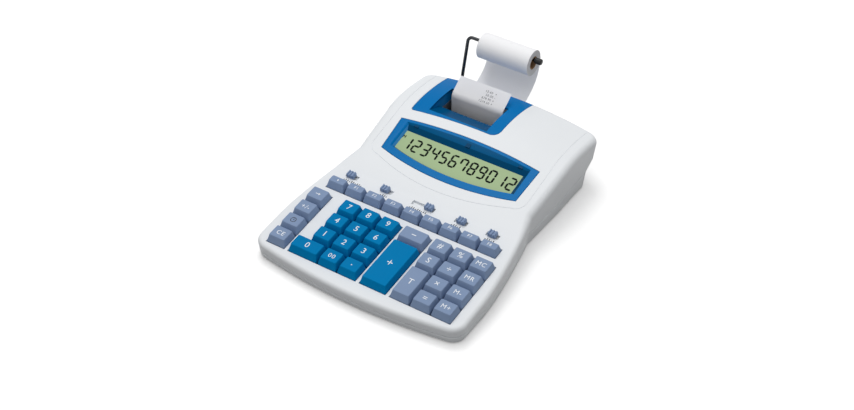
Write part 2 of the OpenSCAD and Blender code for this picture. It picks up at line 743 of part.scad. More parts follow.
module display_bezel() {
    pane_rear = bezel_v + bezel_d - band_d;
    under = bezel_seat + flange_t;
    color(cover_blue, 0.8) centred() on_ramp() {
        difference() {
            union() {
                translate([0, 0, -bezel_seat]) barrel(0, bezel_seat + bezel_proud);
                translate([0, 0, -under]) barrel(flange_lap, flange_t);
            }
            intersection() {
                translate([0, 0, -cut]) front_arc_disc(-bezel_rim, 2 * cut);
                translate([-pane_w / 2, bezel_v, -cut]) cube([pane_w, pane_rear - bezel_v, 2 * cut]);
            }
        }
        for (k = [-1:1])
            translate([k * (pane_w - tab_w) / 2 - tab_w / 2, pane_rear + tab_d, -under - panel_t])
                cube([tab_w, tab_d, panel_t + eps]);
    }
}

module lcd_panel() {
    panel_edge = 2;
    pane_front = bezel_v + bezel_rim;
    pane_rear = bezel_v + bezel_d - band_d;
    color("#aabe96") centred() on_ramp()
        translate([-pane_w / 2 - panel_edge, pane_front - panel_edge, -bezel_seat - flange_t - panel_t])
            cube([pane_w + 2 * panel_edge, pane_rear - pane_front + 2 * panel_edge, panel_t]);
}

// Printer cover
cover_left = paper_x - cover_shift - cover_w / 2;
cover_right = cover_left + cover_w;
left_round = 3;
right_round = 9;
cover_columns = concat(
    [for (k = [0:2]) cover_left + left_round * (1 - cos(30 * k))],
    span(cover_left + left_round, cover_right - right_round, 8),
    [for (k = [0:4]) cover_right - right_round * (1 - sin(22.5 * k))]);
cover_rows = 8;
lip = 1.6;
cover_foot = rear_h - cover_drop;
cover_arc = rear_arc + cover_y - crest_y;
function cover_front(x) = cover_y - x * x / (2 * cover_arc) + corner_cut(left_round, x - cover_left)
    + corner_cut(right_round, cover_right - x);
function cover_outline(grow) =
    let (stretch = (cover_w + 2 * grow) / cover_w, mid = (cover_left + cover_right) / 2)
    concat([for (x = cover_columns) [mid + (x - mid) * stretch, cover_front(x) - grow]],
           [[cover_right + grow, 2 * case_d], [cover_left - grow, 2 * case_d]]);

// A point of the cover over the rear shoulder, and one on the wall below it at the cover's lower edge
function cover_lean(x) = atan(top_z(x, rear_edge(x)) - top_z(x, rear_edge(x) + 1));
function cover_bend(x, part, t) = let (r = hood_round - t, lean = cover_lean(x), a = mix(lean, 90, part))
    [x, rear_edge(x) + r * (sin(a) - sin(lean)), top_z(x, rear_edge(x)) - t - r * (cos(lean) - cos(a))];
function cover_hem(x, t) = let (p = cover_bend(x, 1, 0))
    [x, p.y - tan(draft) * (p.z - cover_foot) - t, cover_foot];
function cover_grid(t) = concat(
    [for (j = [0:cover_rows], x = cover_columns)
        let (y = mix(cover_front(x), rear_edge(x), j / cover_rows)) [x, y, top_z(x, y) - t]],
    [for (part = shoulder_parts, x = cover_columns) cover_bend(x, part, t)],
    [for (x = cover_columns) cover_hem(x, t)]);

// The walls under the sides of the paper opening, and the sloping pane in front of the paper
pane_d = 17;
pane_drop = 6;

module opening_walls() {
    front = cover_y + lip;
    foot = frame_h + rest_face;
    half = opening_w / 2;
    for (side = [-1, 1])
        side_plate(paper_x + side * (half + skirt_t / 2) - skirt_t / 2, skirt_t)
            polygon(concat([[front, foot], [opening_y, foot]],
                [for (y = concat([opening_y], reversed(span(front, opening_y, 5))))
                    [y, top_z(paper_x, y) - cover_t * 0.7]]));
    front_z = top_z(paper_x, front) - eps;
    side_plate(paper_x - half - skirt_t / 2, opening_w + skirt_t)
        polygon([[front - eps, front_z], [front - eps, front_z - lip],
                 [front + pane_d, front_z - pane_drop - lip], [front + pane_d, front_z - pane_drop]]);
}

module printer_cover() {
    front = cover_y + lip;
    color(cover_blue, 0.8) centred() {
        difference() {
            sheet(cover_rows + len(shoulder_parts) + 1, len(cover_columns) - 1,
                  cover_grid(0), cover_grid(cover_t));
            translate([paper_x - opening_w / 2, front, frame_h])
                cube([opening_w, opening_y - front, rear_h]);
        }
        opening_walls();
    }
}

// Printer
module frame_plate(x) {
    front = ink_y - ink_r - shaft_r;
    rear = feed_y + 3 * shaft_r;
    side_plate(x, plate_t)
        polygon([[front, floor_z], [feed_y - shaft_r, floor_z], [rear, feed_z - gear_r],
                 [rear, feed_z + gear_r], [feed_y, frame_h], [front, frame_h]]);
}

module printer_frame() {
    left = paper_x - frame_in - plate_t;
    right = paper_x + frame_in + plate_t;
    front = ink_y - ink_r - shaft_r;
    color("#5b6066") centred() difference() {
        union() {
            frame_plate(left);
            frame_plate(right - plate_t);
            translate([left, front, floor_z]) cube([right - left, feed_y - shaft_r - front, plate_t]);
        }
        cross_shaft(left - eps, right + eps, drum_y, drum_z, shaft_r + shaft_gap);
        cross_shaft(left - eps, right + eps, feed_y, feed_z, shaft_r + shaft_gap);
        cross_shaft(left - eps, right + eps, ink_y, ink_z, shaft_r + shaft_gap);
    }
}

// A spur gear with straight-sided teeth, a tooth pointing along the angle turn
module spur_gear(turn) {
    root = gear_r - 1.2 * gear_m;
    tip = gear_r + 0.8 * gear_m;
    pitch = 360 / teeth;
    linear_extrude(gear_w) rotate(turn)
        polygon([for (k = [0:teeth - 1]) each
            [for (c = [[root, -0.34], [tip, -0.13], [tip, 0.13], [root, 0.34]])
                c[0] * [cos(pitch * (k + c[1])), sin(pitch * (k + c[1]))]]]);
}

// The gear of a shaft, outside the left plate, turned to face the other gear
module shaft_gear(y, z, turn) {
    translate([gear_face - gear_w, y, z]) rotate([90, 0, 90]) spur_gear(turn);
}

mesh_angle = -asin(feed_drop / (2 * gear_r));
gear_face = paper_x - frame_in - plate_t - roller_gap;
shaft_end = paper_x + frame_in + plate_t;
end_gap = 1;

module print_drum() {
    bands = 14;
    half = frame_in - end_gap;
    pitch = 2 * half / bands;
    groove = 0.6;
    color("#3c4248") centred() {
        translate([paper_x, drum_y, drum_z]) rotate([0, 90, 0]) rotate_extrude()
            polygon(concat([[0, -half], [drum_r - groove, -half]],
                [for (k = [0:bands - 1], c = [[groove, 0.1], [0, 0.15], [0, 0.85], [groove, 0.9]])
                    [drum_r - c[0], -half + pitch * (k + c[1])]],
                [[drum_r - groove, half], [0, half]]));
        cross_shaft(gear_face - gear_w, shaft_end, drum_y, drum_z, shaft_r);
        shaft_gear(drum_y, drum_z, mesh_angle);
    }
}

module feed_roller() {
    half = frame_in - end_gap;
    color("#26282b") centred() {
        cross_shaft(paper_x - half, paper_x + half, feed_y, feed_z, feed_r);
        cross_shaft(gear_face - gear_w, shaft_end, feed_y, feed_z, shaft_r);
        shaft_gear(feed_y, feed_z, mesh_angle + 180 + 180 / teeth);
    }
}

module ink_roller() {
    half = frame_in - end_gap;
    color("#4a3b35") centred() {
        cross_shaft(paper_x - half, paper_x + half, ink_y, ink_z, ink_r);
        cross_shaft(gear_face, shaft_end, ink_y, ink_z, shaft_r);
    }
}

// Roll arm: a wire whose foot plugs into the rear wall, with a leaning leg and a level arm through the roll
arm_z = roll_z + bore_r - wire_r - rest_face;
foot_turn = 90 - leg_lean;
arm_turn = 90;
leg_foot_z = foot_z + bend_r * (1 - cos(foot_turn));
leg_len = (arm_z - leg_foot_z) / cos(leg_lean);
leg_foot_y = roll_y - sin(leg_lean) * leg_len;
foot_end_y = leg_foot_y - bend_r * sin(foot_turn);
tip_gap = 2;
tip_x = paper_x + paper_w / 2 + tip_gap;

leg_line = [0, sin(leg_lean), cos(leg_lean)];
wire_sides = 16;
bend_steps = 6;

// Rings round the wire: along its foot and first bend, and along its second bend and level arm
function wire_ring(p, u, v) = [for (k = [0:wire_sides - 1]) let (a = 360 * k / wire_sides)
    p + wire_r * (cos(a) * u + sin(a) * v)];
function foot_ring(turn, y) = wire_ring(
    [arm_x, y + bend_r * sin(turn), foot_z + bend_r * (1 - cos(turn))], [1, 0, 0], [0, -sin(turn), cos(turn)]);
function arm_ring(turn, x) = wire_ring(
    [x + bend_r * (1 - cos(turn)), leg_foot_y, leg_foot_z] + leg_line * (leg_len - bend_r * (1 - sin(turn))),
    [cos(turn), 0, 0] - sin(turn) * leg_line, [0, -cos(leg_lean), sin(leg_lean)]);

module roll_arm() {
    foot_start = rear_y(arm_x, foot_z) - socket_deep + roller_gap;
    color("#8a8d90") centred()
        stack(concat([foot_ring(0, foot_start)],
                     [for (k = [0:bend_steps]) foot_ring(foot_turn * k / bend_steps, foot_end_y)],
                     [for (k = [0:bend_steps]) arm_ring(arm_turn * k / bend_steps, arm_x)],
                     [arm_ring(arm_turn, tip_x + tip_len - wire_r - bend_r)]));
}

module arm_tip() {
    color("#17181a") centred() difference() {
        cross_shaft(tip_x, tip_x + tip_len, roll_y, arm_z, tip_r);
        cross_shaft(tip_x - eps, tip_x + tip_len - wire_r, roll_y, arm_z, wire_r + shaft_gap);
    }
}

// Paper
module paper_roll() {
    color("white") centred() difference() {
        cross_shaft(paper_x - paper_w / 2, paper_x + paper_w / 2, roll_y, roll_z, roll_r);
        cross_shaft(paper_x - paper_w / 2 - eps, paper_x + paper_w / 2 + eps, roll_y, roll_z, bore_r);
    }
}

function curve(p, n) = [for (k = [0:n - 1]) let (t = k / n, u = 1 - t)
    u * u * u * p[0] + 3 * u * u * t * p[1] + 3 * u * t * t * p[2] + t * t * t * p[3]];
function arc(y, z, r, from, to, n) = [for (k = [0:n]) let (a = mix(from, to, k / n))
    [y + r * cos(a), z + r * sin(a)]];

// The middle line of the web: off the roll, in at the slot, round under the feed roller, up and out
web_off = web_gap + paper_t / 2;
slot_point = [rear_y(paper_x, slot_z), slot_z];
hang = [roll_y + roll_r + web_off, roll_z];
wrap_r = feed_r + web_off;
bend_z = top_z(paper_x, opening_y) - 6;
strip_r = 7;
strip_turn = 180 - (90 - strip_lean);
strip_start = arc(feed_y - wrap_r + strip_r, bend_z, strip_r, 180, strip_turn, 6);
web_line = concat(
    curve([hang, hang - [0, 30], slot_point + [16, 7], slot_point], 12),
    curve([slot_point, slot_point - [10, 1.5],
           [feed_y + 9, feed_z - wrap_r], [feed_y + 2, feed_z - wrap_r]], 8),
    arc(feed_y, feed_z, wrap_r, 270, 180, 12), strip_start,
    [strip_start[6] + strip_len * [cos(strip_lean), sin(strip_lean)]]);
function web_side(k, side) =
    let (n = len(web_line) - 1, t = web_line[min(n, k + 1)] - web_line[max(0, k - 1)])
    web_line[k] + side * paper_t / 2 * [-t.y, t.x] / norm(t);

module paper_web() {
    n = len(web_line) - 1;
    color("white") centred() side_plate(paper_x - paper_w / 2, paper_w)
        polygon(concat([for (k = [0:n]) web_side(k, 1)], [for (k = [n:-1:0]) web_side(k, -1)]));
}

base_case();
rubber_feet();
key_board();
dome_sheet();
top_case();
case_screws();
display_bezel();
lcd_panel();
printer_frame();
print_drum();
feed_roller();
ink_roller();
printer_cover();
roll_arm();
arm_tip();
paper_roll();
paper_web();
for (key = KEYS) deck_key(key);
for (knob = SWITCHES) switch_knob(knob);
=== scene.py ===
from math import atan, cos, radians, sin, tan

import bpy
import numpy as np
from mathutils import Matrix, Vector


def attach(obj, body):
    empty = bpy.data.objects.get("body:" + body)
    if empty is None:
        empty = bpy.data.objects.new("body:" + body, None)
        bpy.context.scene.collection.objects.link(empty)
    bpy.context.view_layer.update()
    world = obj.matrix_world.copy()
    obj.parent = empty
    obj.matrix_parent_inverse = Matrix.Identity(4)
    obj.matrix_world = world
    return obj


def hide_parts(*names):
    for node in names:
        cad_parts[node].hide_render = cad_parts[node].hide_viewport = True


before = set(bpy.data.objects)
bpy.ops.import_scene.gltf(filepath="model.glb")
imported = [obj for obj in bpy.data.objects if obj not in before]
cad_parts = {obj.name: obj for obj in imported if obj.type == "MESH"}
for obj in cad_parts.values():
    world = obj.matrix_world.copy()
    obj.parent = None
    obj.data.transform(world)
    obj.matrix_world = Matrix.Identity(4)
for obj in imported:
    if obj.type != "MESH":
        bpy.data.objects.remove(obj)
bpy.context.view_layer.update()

# Base case: the lower half of the shell, a shallow tray injection-moulded in white ABS.
# Its walls lean in, a shadow groove runs round its rim under the top case, and six screws
# pass up through counterbored holes in its floor.
MM = 0.001
HALF_DEPTH = 160.525
case_w, waist_w, hood_w = 219, 188, 194
case_d, front_bow, rear_bow = 286, 8, 10
wall, deck_round, hood_round = 2.2, 4, 6.5
front_corner, rear_corner = 13, 13
draft, seam_slope = tan(radians(7)), tan(radians(3))
taper_y, waist_y, taper_power = 45, 152, 1.6
seam_h, seam_groove, rear_tuck, tuck_rise = 8, 1.2, 10, 9
deck_slope, ramp_slope = radians(7.2), radians(14.8)
deck_h, key_y, ramp_y, crest_y = 18.6, 14.3, 125, 208
rear_h, crown_h, crown_run = 52, 3, 50
foot_h, edge_break = 1.6, 0.8
groove_deep, groove_ledge, groove_bevel = 1.8, 0.6, 0.5
screw_hole_r, screw_hole_low, screw_hole_h = 2.9, 1, 1.62
boss_spots = [(-25, 8.9), (25, 8.9), (-86, 136), (86, 136), (-80, 236), (80, 236)]


def ease(t):
    """Smooth step: 3t squared less 2t cubed, held at 0 and 1 outside that range."""
    t = np.clip(t, 0, 1)
    return t * t * (3 - 2 * t)


def deck_z(y):
    """Height of the key deck's plane at a distance back from the front edge."""
    return deck_h + tan(deck_slope) * (y - key_y)


def ridge_z(y):
    """Height along the middle: the deck's plane, then the ramp's, then less a square law behind the crest."""
    ramp = deck_z(ramp_y) + tan(ramp_slope) * (y - ramp_y)
    fall = (deck_z(ramp_y) + tan(ramp_slope) * (case_d - ramp_y) - rear_h) / (case_d - crest_y) ** 2
    return np.where(y < ramp_y, deck_z(y), ramp - fall * np.maximum(0, y - crest_y) ** 2)


def top_z(x, y):
    """Height of the top: the middle line, less a crown that grows with the square of x behind the crest."""
    return ridge_z(y) - crown_h * ease((y - crest_y) / crown_run) * (2 * x / hood_w) ** 2


def half_w(y):
    """Half width in plan: straight, then a power-law taper to the waist, then a slow spread to the crest."""
    taper = np.clip((y - taper_y) / (waist_y - taper_y), 0, 1) ** taper_power
    spread = np.clip((y - waist_y) / (crest_y - waist_y), 0, 1)
    front_w, rear_w = case_w + (waist_w - case_w) * taper, waist_w + (hood_w - waist_w) * spread
    return np.where(y < waist_y, front_w, rear_w) / 2


def shoulder(y):
    """Radius of the shoulder: the deck's, easing into the hood's between the ramp's foot and the waist."""
    return deck_round + (hood_round - deck_round) * ease((y - ramp_y) / (waist_y - ramp_y))


def corner_cut(r, d):
    """Inset of a quarter circle of radius r at a distance d from its end."""
    d = np.clip(d, 0, r)
    return r - np.sqrt(r * r - (r - d) ** 2)


def span(start, end, count):
    """Evenly spaced values from a start to an end, with the end left out."""
    return np.linspace(start, end, count)[:-1]


slope_step = 0.01
rear_fall = (ridge_z(np.float64(case_d - slope_step)) - ridge_z(np.float64(case_d))) / slope_step
rear_lean = atan(rear_fall)
front_in = deck_round * (1 - sin(deck_slope))
rear_in = case_d - hood_round * (1 - sin(rear_lean))
front_r, rear_r = front_corner - deck_round, rear_corner - hood_round
front_flat, rear_flat = case_w / 2 - front_corner, hood_w / 2 - rear_corner
quarter = np.linspace(0, np.pi / 2, 13)
case_rows = np.concatenate([
    front_in + front_r * (1 - np.cos(quarter[:-1])), span(front_in + front_r, taper_y, 12),
    span(taper_y, ramp_y, 40), span(ramp_y, waist_y, 14), span(waist_y, crest_y, 28),
    span(crest_y, rear_in - rear_r, 36), rear_in - rear_r * (1 - np.sin(quarter))])
case_columns = np.linspace(-1, 1, 49)


def case_flat(drop):
    """Grid of the top inside its shoulders: x is a share of the flat's half width, y bows with x squared."""
    y, s = np.meshgrid(case_rows, case_columns, indexing="ij")
    flat_w = half_w(y) - shoulder(y) - corner_cut(front_r, y - front_in) - corner_cut(rear_r, rear_in - y)
    x = s * flat_w
    bow = front_bow * (np.clip(1 - (y - front_in) / (ramp_y - front_in), 0, 1) * x / front_flat) ** 2
    bow -= rear_bow * (np.clip((y - crest_y) / (rear_in - crest_y), 0, 1) * x / rear_flat) ** 2
    y = y + bow
    return np.stack([x, y, top_z(x, y) - drop], axis=-1)


def loop_of(grid):
    """The edge of a grid, anticlockwise from its front left corner."""
    return np.concatenate([grid[0], grid[1:, -1], grid[-1, -2::-1], grid[-2:0:-1, 0]])


edge = loop_of(case_flat(0))
along = np.roll(edge, -1, 0) - np.roll(edge, 1, 0)
along /= np.hypot(along[:, 0], along[:, 1])[:, None]
edge_x, edge_y = along[:, 1], -along[:, 0]
edge_lean = np.arctan(edge[:, 2] - top_z(edge[:, 0] + edge_x, edge[:, 1] + edge_y))
edge_r = shoulder(edge[:, 1])
wall_top = edge[:, 2] - edge_r * np.cos(edge_lean)
tuck_start = rear_in - rear_r - rear_bow - 2 * rear_tuck
tuck = rear_tuck * np.clip((edge[:, 1] - tuck_start) / (2 * rear_tuck), 0, 1)


def ring(out, z, back=0):
    """The edge moved out along its plan normal, set at a height, and drawn forward under the rear."""
    z = np.broadcast_to(z, edge_x.shape)
    return np.stack([edge[:, 0] + edge_x * out, edge[:, 1] + edge_y * out - back, z], axis=-1)


def wall_out(z):
    """How far the leaning wall stands out from the flat's edge at a height."""
    return edge_r * (1 - np.sin(edge_lean)) - draft * (wall_top - z)


def seam_height(lower):
    """Height where the leaning wall meets the sloping plane of the seam, lowered by an amount."""
    plane = seam_h + seam_slope * (edge[:, 1] + edge_y * wall_out(0) - tuck) - lower
    return plane / (1 - seam_slope * edge_y * draft)


def base_ring(inset, z):
    """The base's wall at a height, moved in by an inset."""
    return ring(wall_out(z) - inset, z, tuck)


def seam_ring(inset, lower):
    """The base's wall at the lowered seam, moved in by an inset."""
    return base_ring(inset, seam_height(lower))


def grid_quads(rows, columns, start=0, up=True):
    """Four-sided faces over a grid of points that is stored row by row."""
    a = start + np.arange(rows - 1)[:, None] * columns + np.arange(columns - 1)
    a = a.ravel()
    quads = np.stack([a, a + 1, a + columns + 1, a + columns], axis=-1)
    return quads if up else quads[:, ::-1]


def ring_quads(upper, lower):
    """Faces between two closed rings of point numbers, facing away from what they go round."""
    return np.stack([upper, lower, np.roll(lower, -1), np.roll(upper, -1)], axis=-1)


def stack_mesh(rings, capped=True):
    """A solid through a stack of rings: flat caps close its ends, or else the last ring joins the first."""
    index = np.arange(len(rings) * len(rings[0])).reshape(len(rings), -1)
    pairs = zip(index[:-1], index[1:]) if capped else zip(index, np.roll(index, -1, 0))
    faces = np.concatenate([ring_quads(a, b) for a, b in pairs]).tolist()
    caps = [index[0].tolist(), index[-1][::-1].tolist()] if capped else []
    return np.concatenate(rings), faces + caps


def join(*meshes):
    """Puts meshes into one: each later one's point numbers move up by the points before it."""
    points, faces, start = [], [], 0
    for p, f in meshes:
        points.append(np.asarray(p, float))
        faces += [[i + start for i in face] for face in f]
        start += len(p)
    return np.concatenate(points), faces


def new_object(name, data):
    """An object in the scene from its data."""
    made = bpy.data.objects.new(name, data)
    bpy.context.scene.collection.objects.link(made)
    return made


def solid_mesh(made):
    """An object's shape, with its modifiers and curves worked out, as a mesh."""
    return bpy.data.meshes.new_from_object(made.evaluated_get(bpy.context.evaluated_depsgraph_get()))


def raw_object(name, mesh):
    """An object at the origin from points in millimetres, measured back from the front edge."""
    points, faces = mesh
    data = bpy.data.meshes.new(name)
    data.from_pydata(((np.asarray(points) - [0, HALF_DEPTH, 0]) * MM).tolist(), [], faces)
    data.validate()
    return new_object(name, data)


def cut_away(made, cutter_mesh):
    """Takes the cutter's solids out of a piece and keeps the result as its mesh."""
    cutter = raw_object("cutter", cutter_mesh)
    tool = made.modifiers.new("openings", "BOOLEAN")
    tool.operation, tool.solver, tool.object = "DIFFERENCE", "EXACT", cutter
    solid = solid_mesh(made)
    made.modifiers.clear()
    made.data = solid
    bpy.data.objects.remove(cutter)


def piece(name, mesh, body, materials, replaced=(), crease=35, cut=None, face_finish=None):
    made = raw_object(name, mesh)
    if cut is not None:
        cut_away(made, cut)
    if face_finish is not None:
        made.data.polygons.foreach_set("material_index", face_finish)
    made.data.polygons.foreach_set("use_smooth", [True] * len(made.data.polygons))
    made.data.set_sharp_from_angle(angle=radians(crease))
    for material in materials:
        made.data.materials.append(material)
    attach(made, body)
    if replaced:
        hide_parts(*replaced)


def circle(x, y, r, count=32):
    """Points round a circle in plan, anticlockwise."""
    a = np.arange(count) * 2 * np.pi / count
    return np.stack([x + r * np.cos(a), y + r * np.sin(a)], axis=-1)


def raised(outline, h):
    """A plan outline lifted to a height."""
    return np.column_stack([outline, np.full(len(outline), h)])


def prism(outline, low, high, place=np.asarray):
    """A straight-sided solid over a plan outline, between two heights, set in place by a frame."""
    points, faces = stack_mesh([raised(outline, high), raised(outline, low)])
    return place(points), faces


def new_finish(name):
    """A fresh node material, with its node tree and its main shader's sockets."""
    material = bpy.data.materials.new(name)
    material.use_nodes = True
    return material, material.node_tree, material.node_tree.nodes["Principled BSDF"].inputs


def pattern(tree, kind, source, **sockets):
    """A texture's factor: adds its node, sets its sockets, and feeds its vector from a source."""
    node = tree.nodes.new(kind)
    for name, value in sockets.items():
        node.inputs[name.title()].default_value = value
    tree.links.new(source, node.inputs["Vector"])
    return node.outputs["Fac"]


def toned(tree, factor, dark, light, socket):
    """Colours a socket from a dark tone to a light one by a factor."""
    tone = tree.nodes.new("ShaderNodeValToRGB")
    for stop, shade in zip(tone.color_ramp.elements, (dark, light)):
        stop.color = (*shade, 1)
    tree.links.new(factor, tone.inputs["Fac"])
    tree.links.new(tone.outputs["Color"], socket)


def ranged(tree, factor, low, high, socket):
    """Sets a socket between a low and a high value by a factor."""
    spread = tree.nodes.new("ShaderNodeMapRange")
    spread.inputs["To Min"].default_value = low
    spread.inputs["To Max"].default_value = high
    tree.links.new(factor, spread.inputs["Value"])
    tree.links.new(spread.outputs["Result"], socket)


def linear(rgb):
    """A display colour from 0 to 255 as the linear light that it stands for, by the displays' usual curve."""
    c = np.array(rgb) / 255
    return np.where(c <= 0.04045, c / 12.92, ((c + 0.055) / 1.055) ** 2.4)


cloud_scale, gloss_spread, grain_height = 22.0, 0.15, 0.0002


def moulded(name, rgb, rough, grain=1400, depth=0.02, shade=0.06, shine=0.25, metal=0.0):
    """A moulded finish: faint cloudy tone, uneven gloss and a fine grain, all on Object coordinates."""
    material, tree, surface = new_finish(name)
    tint = linear(rgb)
    place = tree.nodes.new("ShaderNodeTexCoord").outputs["Object"]
    cloud = pattern(tree, "ShaderNodeTexNoise", place, scale=cloud_scale, detail=3.0)
    fine = pattern(tree, "ShaderNodeTexNoise", place, scale=float(grain), detail=2.0)
    toned(tree, cloud, tint * (1 - shade), np.minimum(1, tint * (1 + shade)), surface["Base Color"])
    ranged(tree, fine, rough * (1 - gloss_spread), rough * (1 + gloss_spread), surface["Roughness"])
    bump = tree.nodes.new("ShaderNodeBump")
    bump.inputs["Strength"].default_value = depth
    bump.inputs["Distance"].default_value = grain_height
    tree.links.new(fine, bump.inputs["Height"])
    tree.links.new(bump.outputs["Normal"], surface["Normal"])
    surface["Specular IOR Level"].default_value = shine
    surface["Metallic"].default_value = metal
    return material


white_plastic = moulded("white_plastic", (232, 235, 238), 0.42, shade=0.015)
edge_soft = 0.3 * edge_break
base_rings = [base_ring(wall, foot_h + wall), seam_ring(wall, 0), seam_ring(groove_deep, 0),
              seam_ring(groove_deep, seam_groove), seam_ring(groove_ledge, seam_groove),
              seam_ring(0, seam_groove + groove_bevel), base_ring(0, foot_h + edge_break),
              base_ring(edge_soft, foot_h + edge_soft), base_ring(edge_break, foot_h)]
screw_holes = [prism(circle(x, y, screw_hole_r), screw_hole_low, foot_h + screw_hole_h)
               for x, y in boss_spots]
piece("base_shell", stack_mesh(base_rings), "case", [white_plastic], ["base_case"],
      cut=join(*screw_holes))


# Rubber feet, key board and rubber dome sheet: four bonded black feet, a green glass-fibre board that
# carries the key contacts, and a grey silicone sheet moulded with one dome under each key.
def dress(node, material):
    """Gives a CAD node that stays in view its finish."""
    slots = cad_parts[node].data.materials
    slots.clear()
    slots.append(material)


dress("rubber_feet", moulded("foot_rubber", (38, 39, 41), 0.8, grain=900, depth=0.2))
dress("key_board", moulded("board_green", (48, 104, 66), 0.45, grain=500, depth=0.05))
dress("dome_sheet", moulded("dome_silicone", (150, 155, 160), 0.6))

# Top case: the upper half of the shell, moulded in one piece in the same white ABS with a satin grain.
# It holds the key windows, the switch slots, the bezel's seat, the printer's well and the paper slot.
key_w, key_d, key_gap, group_gap = 19.4, 17.1, 1.7, 4.5
zero_extra, plus_w = 11.2, 27.1
function_count, function_w, function_d, function_gap = 9, 18.7, 11.5, 8.8
key_clear, switch_v, slot_d = 0.6, 104.8, 5.2
fit_gap, well, knee_most = 0.4, 6, 0.6
pad_w = 3 * key_w + 2 * key_gap
rows_d = 4 * key_d + 3 * key_gap
field_w = key_w + 3 * group_gap + zero_extra + 2 * pad_w + plus_w
left_x = -field_w / 2
pad_x = left_x + key_w + group_gap + zero_extra
plus_x = pad_x + pad_w + group_gap
right_x = plus_x + plus_w + group_gap
function_row_w = function_count * function_w + (function_count - 1) * key_gap
function_x = -function_row_w / 2
function_v = rows_d + function_gap
switch_slots = [(-77, 13), (-38.5, 13), (1.5, 24), (42, 13), (75, 13)]
shoulder_turns = np.linspace(0, 1, 11)[1:]
tuck_parts, inner_knee = (0.2, 0.4, 0.6, 0.8, 1), 0.1


def shoulder_ring(part, t):
    """A ring on the shoulder's arc, from the top's own lean round to upright, at a depth t under the skin."""
    r = edge_r - t
    a = edge_lean + (np.pi / 2 - edge_lean) * part
    return ring(r * (np.sin(a) - np.sin(edge_lean)), edge[:, 2] - t - r * (np.cos(edge_lean) - np.cos(a)))


def wall_rings(inset, parts, knee_part):
    """Rings down the wall: upright to the knee, then drawn forward to the seam along a soft bend."""
    low = seam_height(0)
    knee = low + np.minimum(tuck_rise, knee_most * (wall_top - low))
    knee += (wall_top - knee) * knee_part
    rings = [ring(wall_out(z) - inset, z) for z in (wall_top + (knee - wall_top) / 2, knee)]
    for part in parts:
        z = knee + (low - knee) * part
        rings.append(ring(wall_out(z) - inset, z, tuck * part))
    return rings


def slope_frame(slope, y0, z0):
    """A frame on a slope: takes its own x, distance up the slope and height to the case's frame."""
    def place(points):
        """Turns points by the slope and moves them to the frame's origin."""
        x, v, h = np.asarray(points, float).T
        return np.stack([x, y0 + v * cos(slope) - h * sin(slope), z0 + v * sin(slope) + h * cos(slope)], -1)
    return place


deck_place = slope_frame(deck_slope, key_y, deck_h)
ramp_place = slope_frame(ramp_slope, ramp_y, deck_z(ramp_y))


def oblong(x0, x1, v0, v1):
    """The four corners of an oblong, anticlockwise."""
    return np.array([[x0, v0], [x1, v0], [x1, v1], [x0, v1]], float)


def centred(x, w, v0, v1):
    """An oblong of width w about x."""
    return oblong(x - w / 2, x + w / 2, v0, v1)


def key_window(x, v, w, d):
    """The opening for a block of keys: its own oblong and a clearance all round."""
    return oblong(x - key_clear, x + w + key_clear, v - key_clear, v + d + key_clear)


bezel_v, bezel_d = 26, 55
bezel_front_w, bezel_rear_w, bezel_front_bow, bezel_rear_bow = 146, 151, 10, 6.3
arc_count, side_count = 40, 10


def arc_radius(half, rise):
    """Radius of an arc from half its chord and its rise."""
    return (half * half + rise * rise) / (2 * rise)


front_arc = arc_radius(bezel_front_w / 2, bezel_front_bow)
rear_arc = arc_radius(bezel_rear_w / 2, bezel_rear_bow)


def front_line(grow, left, right):
    """The bezel's front arc, moved out by an amount, between two distances from the middle."""
    x = np.linspace(-left, right, arc_count)
    return np.column_stack([x, bezel_v + front_arc - np.sqrt((front_arc + grow) ** 2 - x * x)])


def rear_line(grow, left, right):
    """The bezel's rear arc, moved out by an amount, between two distances from the middle."""
    x = np.linspace(-left, right, arc_count)
    return np.column_stack([x, bezel_v + bezel_d - rear_arc + np.sqrt((rear_arc + grow) ** 2 - x * x)])


def loop_through(front, rear):
    """An outline, anticlockwise: a front line, the right side, a rear line and the left side."""
    side = np.linspace(0, 1, side_count + 2)[1:-1, None]
    return np.concatenate([front, front[-1] + (rear[-1] - front[-1]) * side, rear[::-1],
                           rear[0] + (front[0] - rear[0]) * side])


def barrel(grow):
    """The bezel's outline, moved out by an amount."""
    f, r = bezel_front_w / 2 + grow, bezel_rear_w / 2 + grow
    return loop_through(front_line(grow, f, f), rear_line(grow, r, r))


paper_x, cover_w, cover_shift, cover_y, cover_drop = -25.5, 92, 1.75, 215.5, 8
left_round, right_round = 3, 9
cover_left = paper_x - cover_shift - cover_w / 2
cover_right = cover_left + cover_w
cover_foot = rear_h - cover_drop
cover_arc = rear_arc + cover_y - crest_y
cover_columns = np.concatenate([
    cover_left + left_round * (1 - np.cos(quarter[:-1])),
    span(cover_left + left_round, cover_right - right_round, 48),
    cover_right - right_round * (1 - np.sin(quarter))])


def cover_front(x):
    """The cover's front edge: a shallow arc, with a rounded corner at each end."""
    corners = corner_cut(left_round, x - cover_left) + corner_cut(right_round, cover_right - x)
    return cover_y - x * x / (2 * cover_arc) + corners


def rear_edge(x):
    """Distance to the rear edge of the flat, which bows forward with the square of x."""
    return rear_in - rear_bow * (x / rear_flat) ** 2


